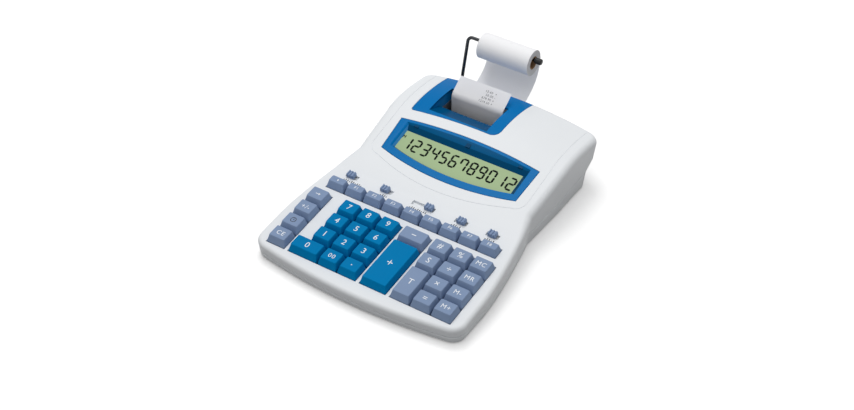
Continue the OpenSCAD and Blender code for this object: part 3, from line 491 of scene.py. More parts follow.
cover_mid = (cover_left + cover_right) / 2
well_x = cover_mid + (cover_columns - cover_mid) * (1 + 2 * fit_gap / cover_w)
well_rear = 1.5 * case_d
well_outline = np.concatenate([np.column_stack([well_x, cover_front(cover_columns) - fit_gap]),
                               [[cover_right + fit_gap, well_rear], [cover_left - fit_gap, well_rear]]])
pad_left, pad_right, pad_rear = pad_x - key_clear, pad_x + pad_w + key_clear, rows_d + key_clear
zero_left, zero_rear = pad_x - zero_extra - key_clear, key_d + key_clear
pad_outline = np.array([[zero_left, -key_clear], [pad_right, -key_clear], [pad_right, pad_rear],
                        [pad_left, pad_rear], [pad_left, zero_rear], [zero_left, zero_rear]])
windows = [key_window(left_x, 0, key_w, rows_d), pad_outline, key_window(plus_x, 0, plus_w, rows_d),
           key_window(right_x, 0, pad_w, rows_d),
           key_window(function_x, function_v, function_row_w, function_d)]
windows += [centred(x, w, switch_v - slot_d / 2, switch_v + slot_d / 2) for x, w in switch_slots]
slot_w, slot_z, slot_high, slot_cut, rear_face = 60, 38, 5, 8, 284.3
slot_outline = centred(paper_x, slot_w, rear_face - slot_cut, rear_face + slot_cut)
panel_w, panel_front, panel_rear, panel_bow, panel_corner = 168, 138, 270, 18, 12
groove_w, groove_d = 0.7, 0.35


def panel_line():
    """The raised panel's edge in plan: down the left, along a bowed front with round corners, and back."""
    straight = panel_w / 2 - panel_corner
    x = np.linspace(-straight, straight, 80)
    front = np.column_stack([x, panel_front + panel_bow * (2 * x / panel_w) ** 2])
    turn = np.linspace(0, np.pi / 2, 14)[1:]
    corner = front[-1] + np.column_stack([panel_corner * np.sin(turn), panel_corner * (1 - np.cos(turn))])
    side = corner[-1] + np.outer(np.linspace(0, 1, 60)[1:], [0, panel_rear - corner[-1][1]])
    right = np.concatenate([corner, side])
    return np.concatenate([(right * [-1, 1])[::-1], front, right])


def heading(line):
    """Unit steps along a line of points."""
    step = np.gradient(line, axis=0)
    return step / np.linalg.norm(step, axis=1)[:, None]


def groove(line):
    """A shallow vee along a line on the top: a bar of full width over the skin and two fifths of it below."""
    step = heading(line)
    across = np.column_stack([step[:, 1], -step[:, 0]])
    vee = [(0.5, 1), (-0.5, 1), (-0.2, -1), (0.2, -1)]
    rings = np.stack([np.column_stack([line + across * groove_w * w, top_z(*line.T) + groove_d * h])
                      for w, h in vee], axis=1)
    return stack_mesh(list(rings))


def sheet_mesh(upper, lower, rings=()):
    """A closed sheet between two grids of the same shape, its rim led from one to the other through rings."""
    rows, columns = upper.shape[:2]
    count = rows * columns
    rim = loop_of(np.arange(count).reshape(rows, columns))
    led = np.arange(len(rings) * len(rim)).reshape(len(rings), len(rim)) + 2 * count
    chain = np.concatenate([rim[None], led, rim[None] + count])
    faces = [grid_quads(rows, columns), grid_quads(rows, columns, count, False)]
    faces += [ring_quads(a, b) for a, b in zip(chain[:-1], chain[1:])]
    points = np.concatenate([upper.reshape(-1, 3), lower.reshape(-1, 3), *rings])
    return points, np.concatenate(faces).tolist()


openings = [prism(outline, -well, well, deck_place) for outline in windows]
openings += [prism(barrel(fit_gap), -well, well, ramp_place),
             prism(well_outline, cover_foot - fit_gap, 2 * rear_h),
             prism(slot_outline, slot_z - slot_high / 2, slot_z + slot_high / 2), groove(panel_line())]
shell_rings = [shoulder_ring(p, 0) for p in shoulder_turns] + wall_rings(0, tuck_parts, 0)
shell_rings += [seam_ring(wall, 0)] + wall_rings(wall, (), inner_knee)[::-1]
shell_rings += [shoulder_ring(p, wall) for p in shoulder_turns[::-1]]
piece("top_shell", sheet_mesh(case_flat(0), case_flat(wall), shell_rings), "case",
      [white_plastic], ["top_case"], crease=28, cut=join(*openings))

# Case screws: six zinc-plated self-tapping screws with flat round heads, driven up from below
# through the base's floor into the top case's bosses.
dress("case_screws", moulded("zinc", (176, 178, 182), 0.35, grain=2200, depth=0.05, metal=1.0))

# Display bezel: a frame moulded in clear-tinted blue acrylic, with bowed front and rear edges. It is set
# into the ramp from below, its flange clamped under the case, and its rear band slopes down to the panel.
bezel_rim, rim_w, rim_step, pane_w, band_d = 8, 3.2, 0.8, 133, 17
flange_w, flange_t = 2, 1.5
bezel_seat = wall * cos(ramp_slope)
panel_top = bezel_seat + flange_t


def pane_outline(front, left, right, rear):
    """The bezel's opening, each side moved out by its own amount: an arc in front, straight behind."""
    l, r = pane_w / 2 + left, pane_w / 2 + right
    rear_v = np.full(arc_count, bezel_v + bezel_d - band_d + rear)
    return loop_through(front_line(front - bezel_rim, l, r),
                        np.column_stack([np.linspace(-l, r, arc_count), rear_v]))


def frame_mesh(stations, place=np.asarray):
    """A closed frame set in place: each station is a loop and a height, and the last joins the first."""
    points, faces = stack_mesh([raised(loop, h) for loop, h in stations], capped=False)
    return place(points), faces


def tinted(name, rgb, shade, shine):
    """Clear-tinted acrylic: hardly any grain, as a polished tool leaves it."""
    return moulded(name, rgb, 0.25, grain=600, depth=0.004, shade=shade, shine=shine)


tinted_blue = tinted("tinted_blue", (0, 112, 180), 0.05, 0.05)
# A darker copy of the bezel's acrylic: painted shade on the opening's inner walls, also laid on the clips.
tinted_painted_shade = tinted("tinted_painted_shade", (0, 66, 104), 0.08, 0.03)
# A lighter copy of the same acrylic: a painted highlight on the opening's left inner wall.
tinted_painted_highlight = tinted("tinted_painted_highlight", (60, 140, 204), 0.05, 0.1)
# A darker copy of the same acrylic: painted shade on the rear band, where it slopes down to the panel.
tinted_band_painted_shade = tinted("tinted_band_painted_shade", (0, 84, 132), 0.12, 0.04)
bezel_tints = [tinted_blue, tinted_painted_shade, tinted_painted_highlight, tinted_band_painted_shade]
blue, shade_face, highlight_face, band_shade_face = range(len(bezel_tints))
rim_half = pane_w / 2 + 1
rim_inside = loop_through(front_line(rim_step - bezel_rim, rim_half, rim_half),
                          rear_line(-rim_w, rim_half, rim_half))
# The stations go up the opening's leaning sides, over the rim, down outside it and round the flange.
bezel_stations = [(pane_outline(-2, -2.5, -3.5, 2), -panel_top), (pane_outline(-0.4, -1, 0.3, 7), -1.3),
                  (pane_outline(-0.3, -0.9, 0.4, 7.6), -1.15), (rim_inside, 0.1), (barrel(-1.0), 0.3),
                  (barrel(-0.3), 0.22), (barrel(0), -0.1), (barrel(0), -bezel_seat),
                  (barrel(flange_w), -bezel_seat), (barrel(flange_w), -panel_top)]
face_at = np.arange(len(rim_inside))
rear_first = arc_count + side_count
rear_last = rear_first + arc_count - 1
# The left inner wall takes the painted highlight, and the other inner walls take the painted shade.
side_finish = np.where(face_at >= rear_last, highlight_face, shade_face)
# The rim's faces along the rear band take the painted shade.
band_finish = np.where((face_at >= rear_first) & (face_at < rear_last), band_shade_face, blue)
rest_finish = np.full((len(bezel_stations) - 3) * len(face_at), blue)
bezel_finish = np.concatenate([side_finish, side_finish, band_finish, rest_finish])
clip_x, clip_w, clip_front, clip_rear, clip_low, clip_high = 57, 4.8, 71, 76.8, -2.4, -0.35
clips = join(*[prism(centred(x, clip_w, clip_front, clip_rear - x * x / (2 * rear_arc)), clip_low, clip_high,
                     ramp_place) for x in (-clip_x, 0, clip_x)])
piece("bezel", join(frame_mesh(bezel_stations, ramp_place), clips), "case", bezel_tints,
      ["display_bezel"], crease=28, face_finish=bezel_finish.tolist() + [shade_face] * len(clips[1]))

# Liquid crystal panel: a grey-green glass sandwich clamped under the bezel, with twelve slanted
# seven-segment digits and a memory mark etched in its inner film.
panel_edge, panel_t = 2, 2.8
digit_w, digit_h, digit_pitch, digit_x, digit_v, digit_lean = 6.1, 13.4, 10.3, -58.4, 46.4, -0.03
stroke, digit_gap, etch_deep, etch_proud = 2.0, 0.12, 0.04, 0.06
display_digits = "123456789012"
segments_lit = {"0": "abcdef", "1": "bc", "2": "abdeg", "3": "abcdg", "4": "bcfg", "5": "acdfg",
                "6": "acdefg", "7": "abcf", "8": "abcdefg", "9": "abcdfg"}
mark_x, mark_v = -64, 57.2
memory_mark = np.array([[0, 0], [0.6, 0], [0.6, 2.2], [1.5, 1.0], [2.4, 2.2], [2.4, 0], [3, 0], [3, 3.4],
                        [2.5, 3.4], [1.5, 2.0], [0.5, 3.4], [0, 3.4]])


def segment(kind):
    """One bar of a digit as a six-sided outline: a straight stroke with pointed ends."""
    w, h, mid = digit_w, digit_h, digit_h / 2
    ends = {"a": ((0, h), (w, h)), "b": ((w, mid), (w, h)), "c": ((w, 0), (w, mid)), "d": ((0, 0), (w, 0)),
            "e": ((0, 0), (0, mid)), "f": ((0, mid), (0, h)), "g": ((0, mid), (w, mid))}[kind]
    a, b = np.array(ends, float)
    t = (b - a) / np.linalg.norm(b - a)
    n = np.array([-t[1], t[0]]) * stroke / 2
    a, b, point = a + t * digit_gap, b - t * digit_gap, t * stroke / 2
    return np.array([a, a + point - n, b - point - n, b, b - point + n, a + point + n])


def etched(outline):
    """A mark in the panel's inner film: an outline on the ramp, a hair proud of the glass."""
    return prism(outline, -etch_deep - panel_top, etch_proud - panel_top, ramp_place)


marks = []
for place_in_row, digit in enumerate(display_digits):
    for kind in segments_lit[digit]:
        flat = segment(kind)
        x = digit_x + place_in_row * digit_pitch + flat[:, 0] + digit_lean * flat[:, 1]
        marks.append(etched(np.column_stack([x, digit_v + flat[:, 1]])))
marks.append(etched(memory_mark + [mark_x, mark_v]))
lcd_film = moulded("lcd_film", (168, 190, 146), 0.3, grain=300, depth=0.01, shade=0.04, shine=0.06)
lcd_dark = moulded("lcd_dark", (16, 24, 20), 0.35, grain=300, depth=0.01, shine=0.02)
glass_front, glass_rear = bezel_v + bezel_rim - panel_edge, bezel_v + bezel_d - band_d + 2 * panel_edge
glass_outline = centred(0, pane_w + 2 * panel_edge, glass_front, glass_rear)
glass = prism(glass_outline, -panel_top - panel_t, -panel_top, ramp_place)
piece("display_panel", glass, "case", [lcd_film], ["lcd_panel"])
piece("display_digits", join(*marks), "case", [lcd_dark])

# Printer frame and rollers: a folded steel frame on the base's floor carries the print drum with its
# bands of type, the rubber feed roller geared to it, and the felt ink roller that it turns.
dress("printer_frame", moulded("frame_steel", (120, 124, 130), 0.4, grain=1800, depth=0.05, metal=0.8))
dress("print_drum", moulded("drum_plastic", (70, 76, 82), 0.45))
dress("feed_roller", moulded("roller_rubber", (46, 47, 50), 0.75, grain=900, depth=0.15))
dress("ink_roller", moulded("ink_felt", (92, 70, 58), 0.95, grain=1200, depth=0.6, shade=0.25))

# Printer cover: a lid moulded in the same tinted blue, let flush into the hood and round its rear
# shoulder. Paper leaves through an opening with side walls and a sloping pane in front of it.
cover_t, opening_w, opening_y, skirt_t, lip = 2.2, 64, 258, 1.6, 1.6
frame_h, frame_gap, cover_pane_d, cover_pane_drop, pane_sink = 45.5, 0.05, 17, 6, 0.01
wall_sink, pane_solid = 0.7, 0.86


def cover_sheet(t):
    """The cover's skin at a depth t: rows from front arc to rear edge, the shoulder's arc, the hem."""
    x = cover_columns
    rows = [np.stack([x, y, top_z(x, y) - t], -1) for y in
            (cover_front(x) + (rear_edge(x) - cover_front(x)) * s for s in np.linspace(0, 1, 40))]
    y0 = rear_edge(x)
    z0 = top_z(x, y0)
    lean = np.arctan(z0 - top_z(x, y0 + 1))
    r = hood_round - t
    for part in shoulder_turns:
        bend = lean + (np.pi / 2 - lean) * part
        rows.append(np.stack([x, y0 + r * (np.sin(bend) - np.sin(lean)),
                              z0 - t - r * (np.cos(lean) - np.cos(bend))], -1))
    foot_y = y0 + hood_round * (1 - np.sin(lean)) - draft * (z0 - hood_round * np.cos(lean) - cover_foot) - t
    rows.append(np.stack([x, foot_y, np.full(len(x), float(cover_foot))], -1))
    return np.stack(rows)


def side_plate(outline, x0, x1):
    """A plate square to X from an outline in Y and Z."""
    return stack_mesh([np.column_stack([np.full(len(outline), x), outline]) for x in (x1, x0)])


opening_front = cover_y + lip
opening_left, opening_right = paper_x - opening_w / 2, paper_x + opening_w / 2
opening = prism(oblong(opening_left, opening_right, opening_front, opening_y), frame_h, 2 * rear_h)
piece("cover_lid", sheet_mesh(cover_sheet(0), cover_sheet(cover_t)), "cover", [tinted_blue],
      ["printer_cover"], cut=opening)
wall_y, wall_foot = np.linspace(opening_y, opening_front, 24), frame_h + frame_gap
wall_outline = np.concatenate([[[opening_front, wall_foot], [opening_y, wall_foot]],
                               np.column_stack([wall_y, top_z(paper_x, wall_y) - wall_sink * cover_t])])
wall_mids = [paper_x + side * (opening_w + skirt_t) / 2 for side in (-1, 1)]
side_walls = [side_plate(wall_outline, x - skirt_t / 2, x + skirt_t / 2) for x in wall_mids]
piece("cover_walls", join(*side_walls), "cover", [tinted_blue])
# The pane's blue is darker than the cover's: its own tint, with painted shade of the dark well seen through
# it.
pane_tint_and_shade = moulded("pane_tint_and_shade", (0, 80, 128), 0.15, grain=400, depth=0.002, shine=0.03)
pane_tint_and_shade.node_tree.nodes["Principled BSDF"].inputs["Alpha"].default_value = pane_solid
pane_z = float(top_z(paper_x, opening_front)) - pane_sink
pane_rear, pane_low = opening_front + cover_pane_d, pane_z - cover_pane_drop
pane_side = np.array([[opening_front, pane_z - lip], [pane_rear, pane_low - lip], [pane_rear, pane_low],
                      [opening_front, pane_z]])
piece("cover_pane", side_plate(pane_side, opening_left, opening_right), "cover", [pane_tint_and_shade])

# Roll arm and its cap: one length of plated steel wire, its foot plugged into the rear wall, with
# a leaning leg and a level arm through the paper roll. A black moulded cap closes the free end.
wire_r, leg_gap, leg_lean, foot_z, bend_r, bend_count = 1.7, 17, radians(14), 38, 5, 14
plug_len, bore_gap, tip_gap, tip_r, tip_len, tip_soft, tip_nose = 10, 0.05, 2, 3.1, 7, 0.4, 1.2
tip_shoulder, never_along = 0.35, [0.2, -0.93, 0.31]
paper_w, roll_y, roll_z, roll_r, bore_r = 57, 307.7, 81, 13, 5.5
arm_x = paper_x - paper_w / 2 - leg_gap
arm_z = roll_z + bore_r - wire_r - bore_gap
foot_turn = np.pi / 2 - leg_lean
leg_foot_z = foot_z + bend_r * (1 - cos(foot_turn))
leg_len = (arm_z - leg_foot_z) / cos(leg_lean)
leg_foot_y = roll_y - sin(leg_lean) * leg_len
foot_end_y = leg_foot_y - bend_r * sin(foot_turn)
tip_x = paper_x + paper_w / 2 + tip_gap


def tube(path, r, count=24):
    """A round bar along a path: each ring stands square to it, turned by a direction that it never takes."""
    step = heading(path)
    side = np.cross(step, never_along)
    side /= np.linalg.norm(side, axis=1)[:, None]
    over = np.cross(step, side)
    a = np.arange(count) * 2 * np.pi / count
    c, s = np.cos(a)[None, :, None], np.sin(a)[None, :, None]
    return stack_mesh(list(path[:, None] + r * (c * side[:, None] - s * over[:, None])))


turn = np.linspace(0, foot_turn, bend_count)
foot_path = np.stack([np.full(bend_count, arm_x), foot_end_y + bend_r * np.sin(turn),
                      foot_z + bend_r * (1 - np.cos(turn))], -1)
leg_dir = np.array([0, sin(leg_lean), cos(leg_lean)])
turn = np.linspace(0, np.pi / 2, bend_count)[:, None]
arm_path = np.array([arm_x, leg_foot_y, leg_foot_z]) + leg_dir * (leg_len - bend_r * (1 - np.sin(turn)))
arm_path = arm_path + np.array([bend_r, 0, 0]) * (1 - np.cos(turn))
wire_path = np.concatenate([[[arm_x, foot_end_y - plug_len, foot_z]], foot_path, arm_path,
                            [[tip_x + tip_len - wire_r, roll_y, arm_z]]])
# The plated wire is given a dark grey colour: a painted reflection of dark surroundings, which bright plating
# would mirror.
chrome_dark_reflection = moulded("chrome_dark_reflection", (64, 66, 68), 0.16, grain=2500, depth=0.01, metal=1.0)
piece("arm_wire", tube(wire_path, wire_r), "case", [chrome_dark_reflection], ["roll_arm"])


def turned_rings(profile, y, z, count):
    """Rings about a line along X: the profile gives each one's radius and its x."""
    a = -np.arange(count) * 2 * np.pi / count
    return [np.column_stack([np.full(count, x), y + r * np.cos(a), z + r * np.sin(a)]) for r, x in profile]


cap_black = moulded("cap_black", (28, 29, 31), 0.38)
cap_profile = [(tip_r - tip_soft, tip_x), (tip_r, tip_x + tip_soft), (tip_r, tip_x + tip_len - tip_nose),
               (tip_r - tip_shoulder, tip_x + tip_len - tip_soft), (tip_r - tip_nose, tip_x + tip_len)]
arm_cap = stack_mesh(turned_rings(cap_profile, roll_y, arm_z, 48))
piece("arm_cap", arm_cap, "case", [cap_black], ["arm_tip"])

# Paper roll: plain white paper wound on a brown card core, which hangs on the wire and turns on it.
# Its ends show the edges of the turns as fine rings.
core_t, core_short, core_gap = 1.3, 0.2, 0.02
turn_scale, turn_wander, end_rough, end_shine = 330.0, 1.5, 0.8, 0.2
core_r = bore_r + core_t
paper_left, paper_right = paper_x - paper_w / 2, paper_x + paper_w / 2


def paper(name):
    """Plain white paper: hardly any cloud, and a fine soft tooth."""
    return moulded(name, (247, 247, 249), 0.75, grain=700, depth=0.08, shade=0.01)


def wound_edge(name, light, dark):
    """The end of a roll: fine rings about its own axis, where the edges of the turns show."""
    material, tree, surface = new_finish(name)
    centre = tree.nodes.new("ShaderNodeMapping")
    centre.inputs["Location"].default_value = (0, (HALF_DEPTH - roll_y) * MM, -roll_z * MM)
    tree.links.new(tree.nodes.new("ShaderNodeTexCoord").outputs["Object"], centre.inputs["Vector"])
    turns = pattern(tree, "ShaderNodeTexWave", centre.outputs["Vector"], scale=turn_scale,
                    distortion=turn_wander)
    turns.node.wave_type, turns.node.rings_direction = "RINGS", "X"
    toned(tree, turns, linear(dark), linear(light), surface["Base Color"])
    surface["Roughness"].default_value = end_rough
    surface["Specular IOR Level"].default_value = end_shine
    return material


def pipe(x0, x1, r_in, r_out):
    """A straight pipe with square ends, about the roll's own axis."""
    profile = [(r_in, x0), (r_out, x0), (r_out, x1), (r_in, x1)]
    return stack_mesh(turned_rings(profile, roll_y, roll_z, 72), capped=False)


paper_edge = wound_edge("paper_edge", (236, 236, 238), (204, 205, 210))
card_brown = moulded("card_brown", (150, 118, 88), 0.85, grain=500, depth=0.25, shade=0.12)
roll_mesh = pipe(paper_left, paper_right, core_r, roll_r)
end, skin = [1] * (len(roll_mesh[1]) // 4), [0] * (len(roll_mesh[1]) // 4)
piece("wound_paper", roll_mesh, "roll", [paper("paper_white"), paper_edge], ["paper_roll"],
      face_finish=end + skin + end + skin)
core_mesh = pipe(paper_left + core_short, paper_right - core_short, bore_r, core_r - core_gap)
piece("card_core", core_mesh, "roll", [card_brown])

# Paper web: the paper's own end, down from the roll into the slot, round under the feed roller, up past
# the print drum and out of the cover, where the printed strip stands clear.
paper_t, web_gap, strip_len, strip_lean, strip_r, strip_drop = 0.3, 0.05, 17, radians(36), 7, 6
feed_r, feed_y, feed_z, slot_y = 5, 256.471, 29, 284.17
hang_pull, slot_pull_out, slot_pull_in, feed_pull, feed_touch = [0, 30], [16, 7], [10, 1.5], [9, 0], [2, 0]
web_off = web_gap + paper_t / 2
wrap_r = feed_r + web_off
web_columns, sheer_share, sheer_tint = 7, 0.3, (0.95, 0.95, 0.95, 1)


def let_light_through(material, share):
    """Mixes in a surface that passes soft light, as a thin sheet does when it is lit from behind."""
    nodes, links = material.node_tree.nodes, material.node_tree.links
    through = nodes.new("ShaderNodeBsdfTranslucent")
    through.inputs["Color"].default_value = sheer_tint
    mix = nodes.new("ShaderNodeMixShader")
    mix.inputs["Fac"].default_value = share
    links.new(nodes["Principled BSDF"].outputs["BSDF"], mix.inputs[1])
    links.new(through.outputs["BSDF"], mix.inputs[2])
    links.new(mix.outputs["Shader"], nodes["Material Output"].inputs["Surface"])


def curve(points, count):
    """A cubic by four control points: its ends and the two that pull it, with its end left out."""
    t = np.linspace(0, 1, count, endpoint=False)[:, None]
    p = [np.array(q, float) for q in points]
    return (1 - t) ** 3 * p[0] + 3 * (1 - t) ** 2 * t * p[1] + 3 * (1 - t) * t * t * p[2] + t ** 3 * p[3]


def arc(y, z, r, start, end, count):
    """Points on a circle about a place in Y and Z, between two angles."""
    a = np.linspace(start, end, count)
    return np.column_stack([y + r * np.cos(a), z + r * np.sin(a)])


bend_z = float(top_z(paper_x, opening_y)) - strip_drop
strip_bend = arc(feed_y - wrap_r + strip_r, bend_z, strip_r, np.pi, np.pi / 2 + strip_lean, 16)
strip_dir = np.array([cos(strip_lean), sin(strip_lean)])
hang = np.array([roll_y + roll_r + web_off, roll_z])
slot_point = np.array([slot_y, slot_z])
feed_point = np.array([feed_y, feed_z - wrap_r])
web_line = np.concatenate([
    curve([hang, hang - hang_pull, slot_point + slot_pull_out, slot_point], 40),
    curve([slot_point, slot_point - slot_pull_in, feed_point + feed_pull, feed_point + feed_touch], 24),
    arc(feed_y, feed_z, wrap_r, 1.5 * np.pi, np.pi, 24), strip_bend,
    strip_bend[-1] + strip_dir * np.linspace(0, strip_len, 13)[1:, None]])
web_step = heading(web_line)
web_normal = np.column_stack([-web_step[:, 1], web_step[:, 0]])


def web_face(side):
    """One face of the web as a grid: its line moved out by half the thickness, across the paper's width."""
    line = web_line + side * paper_t / 2 * web_normal
    x = np.broadcast_to(np.linspace(paper_left, paper_right, web_columns), (len(line), web_columns))
    return np.stack([x, *(np.repeat(line[:, k:k + 1], web_columns, 1) for k in (0, 1))], -1)


sheer_paper = paper("sheer_paper")
let_light_through(sheer_paper, sheer_share)
piece("paper_strip", sheet_mesh(web_face(-1), web_face(1)), "case", [sheer_paper], ["paper_web"])

# Key caps: thirty-eight hollow caps moulded in satin ABS, dished on top and softened along their edges,
# with printed legends. Each stands over its own rubber dome, and its skirt runs in the window.
key_h, key_side, key_front, key_rear, key_dish, dish_run = 6.8, 1.5, 3.3, 1.0, 0.4, 4.5
key_skirt, key_lip, lip_step, key_edge, key_nick, nick_grow = 3, 0.8, 0.3, 0.5, 0.9, 0.3
key_wall, key_hollow, least_nick, dish_eye, dish_nick, lip_part = 1.2, 1.5, 0.15, 0.3, 0.2, 0.02
letter_steps, letter_half, letter_space = 3, 0.5, 1.15
legend_t, legend_proud, letter_size, word_size, function_share = 0.12, 0.05, 8.6, 6.6, 0.66
key_slate = moulded("key_slate", (130, 150, 182), 0.42, shine=0.08)
key_finish = {"blue": moulded("key_blue", (0, 122, 180), 0.42, shine=0.02), "slate": key_slate}
legend_white = moulded("legend_white", (236, 240, 244), 0.5)
legend_black = moulded("legend_black", (28, 30, 34), 0.5)


def soft_oblong(x0, x1, v0, v1, r):
    """An oblong with rounded corners, anticlockwise."""
    a = np.linspace(0, np.pi / 2, 6)
    centres = [(x1 - r, v0 + r), (x1 - r, v1 - r), (x0 + r, v1 - r), (x0 + r, v0 + r)]
    return np.concatenate([np.column_stack([x + r * np.cos(a + t), v + r * np.sin(a + t)])
                           for (x, v), t in zip(centres, (-np.pi / 2, 0, np.pi / 2, np.pi))])


def cap_level(w, d, part, margin, h, r):
    """One level of a cap: an oblong drawn in by a part of the sides' whole lean, and by a margin."""
    side, front, rear = key_side * part + margin, key_front * part + margin, key_rear * part + margin
    return raised(soft_oblong(side, w - side, front, d - rear, max(r, least_nick)), h)


def cap_top(depth):
    """Height of the dished top against the distance in from its edge."""
    return key_h - key_dish * ease(depth / dish_run)


def cap_mesh(w, d):
    """A cap as a stack of levels: the dish, the soft edge, the leaning sides, the skirt and the hollow."""
    inmost = min(w - 2 * key_side, d - key_front - key_rear) / 2 - dish_eye - key_edge
    levels = [(1, key_edge + m, cap_top(m), key_nick - m * dish_nick) for m in np.linspace(inmost, 0, 7)]
    for a in np.linspace(0, np.pi / 2, 6)[1:]:
        h = key_h - key_edge * (1 - cos(a))
        levels.append((h / key_h, key_edge * (1 - sin(a)), h, key_nick + nick_grow * sin(a)))
    nick = key_nick + nick_grow
    levels += [(0.5 * (1 - key_edge / key_h), 0, 0.5 * (key_h - key_edge), nick),
               (lip_part, 0, key_lip, nick), (0, 0, key_lip - lip_step, nick), (0, 0, -key_skirt, nick),
               (0, key_wall, -key_skirt, key_nick), (0, key_wall, key_hollow, key_nick)]
    return stack_mesh([cap_level(w, d, *level) for level in levels])


def lettering(text, size):
    """Lettering as a thin closed plate, its face at 0 and its back at -1, centred on the origin."""
    font = bpy.data.curves.new("lettering", "FONT")
    font.body, font.size, font.align_x, font.align_y = text, size, "CENTER", "CENTER"
    font.resolution_u, font.extrude, font.space_character = letter_steps, letter_half, letter_space
    made = new_object("lettering", font)
    plate = solid_mesh(made)
    points = np.zeros(len(plate.vertices) * 3)
    plate.vertices.foreach_get("co", points)
    points, same = np.unique(points.reshape(-1, 3).round(4), axis=0, return_inverse=True)
    faces = [same.ravel()[list(p.vertices)].tolist() for p in plate.polygons]
    bpy.data.objects.remove(made)
    bpy.data.meshes.remove(plate)
    middle = (points.max(0) + points.min(0)) / 2
    return points - [middle[0], middle[1], letter_half], faces


def bars(*strokes):
    """A sign made of straight bars: each is its middle, its length, its thickness and its turn in degrees."""
    plates = []
    for x, v, length, thick, angle in strokes:
        c, s = cos(radians(angle)), sin(radians(angle))
        bar = centred(0, length, -thick / 2, thick / 2) @ [[c, s], [-s, c]]
        plates.append(prism(bar + [x, v], -1, 0))
    return join(*plates)


def ring_sign(r_out, r_in):
    """A ring with two short hands inside it."""
    out, inside = circle(0, 0, r_out), circle(0, 0, r_in)
    band_mesh = frame_mesh([(inside, -1), (inside, 0), (out, 0), (out, -1)])
    return join(band_mesh, bars((0, 0.8, 1.6, 0.5, 90), (0.7, 0, 1.4, 0.5, 0)))


sign_bars = {
    "+": bars((0, 0, 5.4, 0.9, 0), (0, 0, 5.4, 0.9, 90)), "-": bars((0, 0, 4.6, 0.8, 0)),
    "=": bars((0, 0.9, 3.8, 0.7, 0), (0, -0.9, 3.8, 0.7, 0)),
    "x": bars((0, 0, 4.6, 0.75, 45), (0, 0, 4.6, 0.75, -45)),
    "/": bars((0, 0, 4.4, 0.7, 0), (0, 1.5, 0.9, 0.9, 0), (0, -1.5, 0.9, 0.9, 0)),
    ".": bars((0, 0, 1.0, 1.0, 0)),
    "back": bars((0, 0, 4.6, 0.7, 0), (1.6, 0.55, 1.9, 0.6, -40), (1.6, -0.55, 1.9, 0.6, 40)),
    "feed": bars((0, -0.3, 3.4, 0.8, 90), (-0.65, 0.9, 1.9, 0.7, 45), (0.65, 0.9, 1.9, 0.7, -45)),
    "ring": ring_sign(2.9, 2.3)}
pitch_x, pitch_v = key_w + key_gap, key_d + key_gap


def key_column(names, signs, x, finish):
    """Keys of one column from the front row back: each has a name, a place, a size, a finish and a sign."""
    return [("key_" + name, x, k * pitch_v, key_w, key_d, finish, sign)
            for k, (name, sign) in enumerate(zip(names.split(), signs.split()))]


keys = key_column("clear circle sign back", "CE ring +/- back", left_x, "slate")
keys += [("key_0", pad_x - zero_extra, 0, key_w + zero_extra, key_d, "blue", "0")]
keys += key_column("00 2 5 8", "00 2 5 8", pad_x + pitch_x, "blue")
keys += key_column("point 3 6 9", ". 3 6 9", pad_x + 2 * pitch_x, "blue")
keys += [("key_" + n, pad_x, (k + 1) * pitch_v, key_w, key_d, "blue", n) for k, n in enumerate("147")]
keys += [("key_plus", plus_x, 0, plus_w, 3 * pitch_v - key_gap, "blue", "+"),
         ("key_minus", plus_x, 3 * pitch_v, plus_w, key_d, "slate", "-"),
         ("key_total", right_x, 0, key_w, 2 * pitch_v - key_gap, "slate", "T"),
         ("key_subtotal", right_x, 2 * pitch_v, key_w, key_d, "slate", "S"),
         ("key_nonadd", right_x, 3 * pitch_v, key_w, key_d, "slate", "#")]
keys += key_column("equals times divide percent", "= x / %", right_x + pitch_x, "slate")
keys += key_column("memory_plus memory_minus memory_recall memory_clear", "M+ M- MR MC",
                   right_x + 2 * pitch_x, "slate")
functions = [("key_paper_feed", "feed")] + [(f"key_function_{k}", f"F{k}") for k in range(1, function_count)]
keys += [(name, function_x + k * (function_w + key_gap), function_v, function_w, function_d, "slate", sign)
         for k, (name, sign) in enumerate(functions)]
for name, x, v, w, d, finish, sign in keys:
    cap, cap_faces = cap_mesh(w, d)
    size = letter_size if len(sign) == 1 else word_size
    mark, mark_faces = sign_bars[sign] if sign in sign_bars else lettering(sign, size)
    share = function_share if v == function_v else 1.0
    mark = mark * [share, share, legend_t] + [w / 2, (d + key_front - key_rear) / 2, 0]
    depth = np.min([mark[:, 0] - key_side, w - key_side - mark[:, 0], mark[:, 1] - key_front,
                    d - key_rear - mark[:, 1]], axis=0) - key_edge
    mark[:, 2] += cap_top(depth) + legend_proud
    points, faces = join((cap, cap_faces), (mark, mark_faces))
    legend = legend_black if sign == "ring" else legend_white
    piece(name + "_cap", (deck_place(points + [x, v, 0]), faces), name,
          [key_finish[finish], legend], [name], crease=45,
          face_finish=[0] * len(cap_faces) + [1] * len(mark_faces))

# Print on the strip: four rows of plain figures in thin dark ink, struck by the drum towards the right
# of the paper, the lowest row just above the bend.
print_size, print_right, ink_t, ink_rise, row_start, row_pitch = 3.3, 15, 0.06, 0.5, 0.6, 3.6
print_rows = ["1234.50 +", "678.90 +", "50.00 -", "12.60  +"]
strip_normal = np.array([-strip_dir[1], strip_dir[0]])
printed = []
for row, figures in enumerate(print_rows):
    flat, faces = lettering(figures, print_size)
    x = paper_x + print_right + flat[:, 0] - flat[:, 0].max()
    line = strip_bend[-1] + np.outer(row_start + row * row_pitch + flat[:, 1], strip_dir)
    line += np.outer((flat[:, 2] + ink_rise) * ink_t + paper_t / 2, strip_normal)
    printed.append((np.column_stack([x, line]), faces))
piece("strip_print", join(*printed), "case", [moulded("ink_grey", (92, 92, 100), 0.7)])

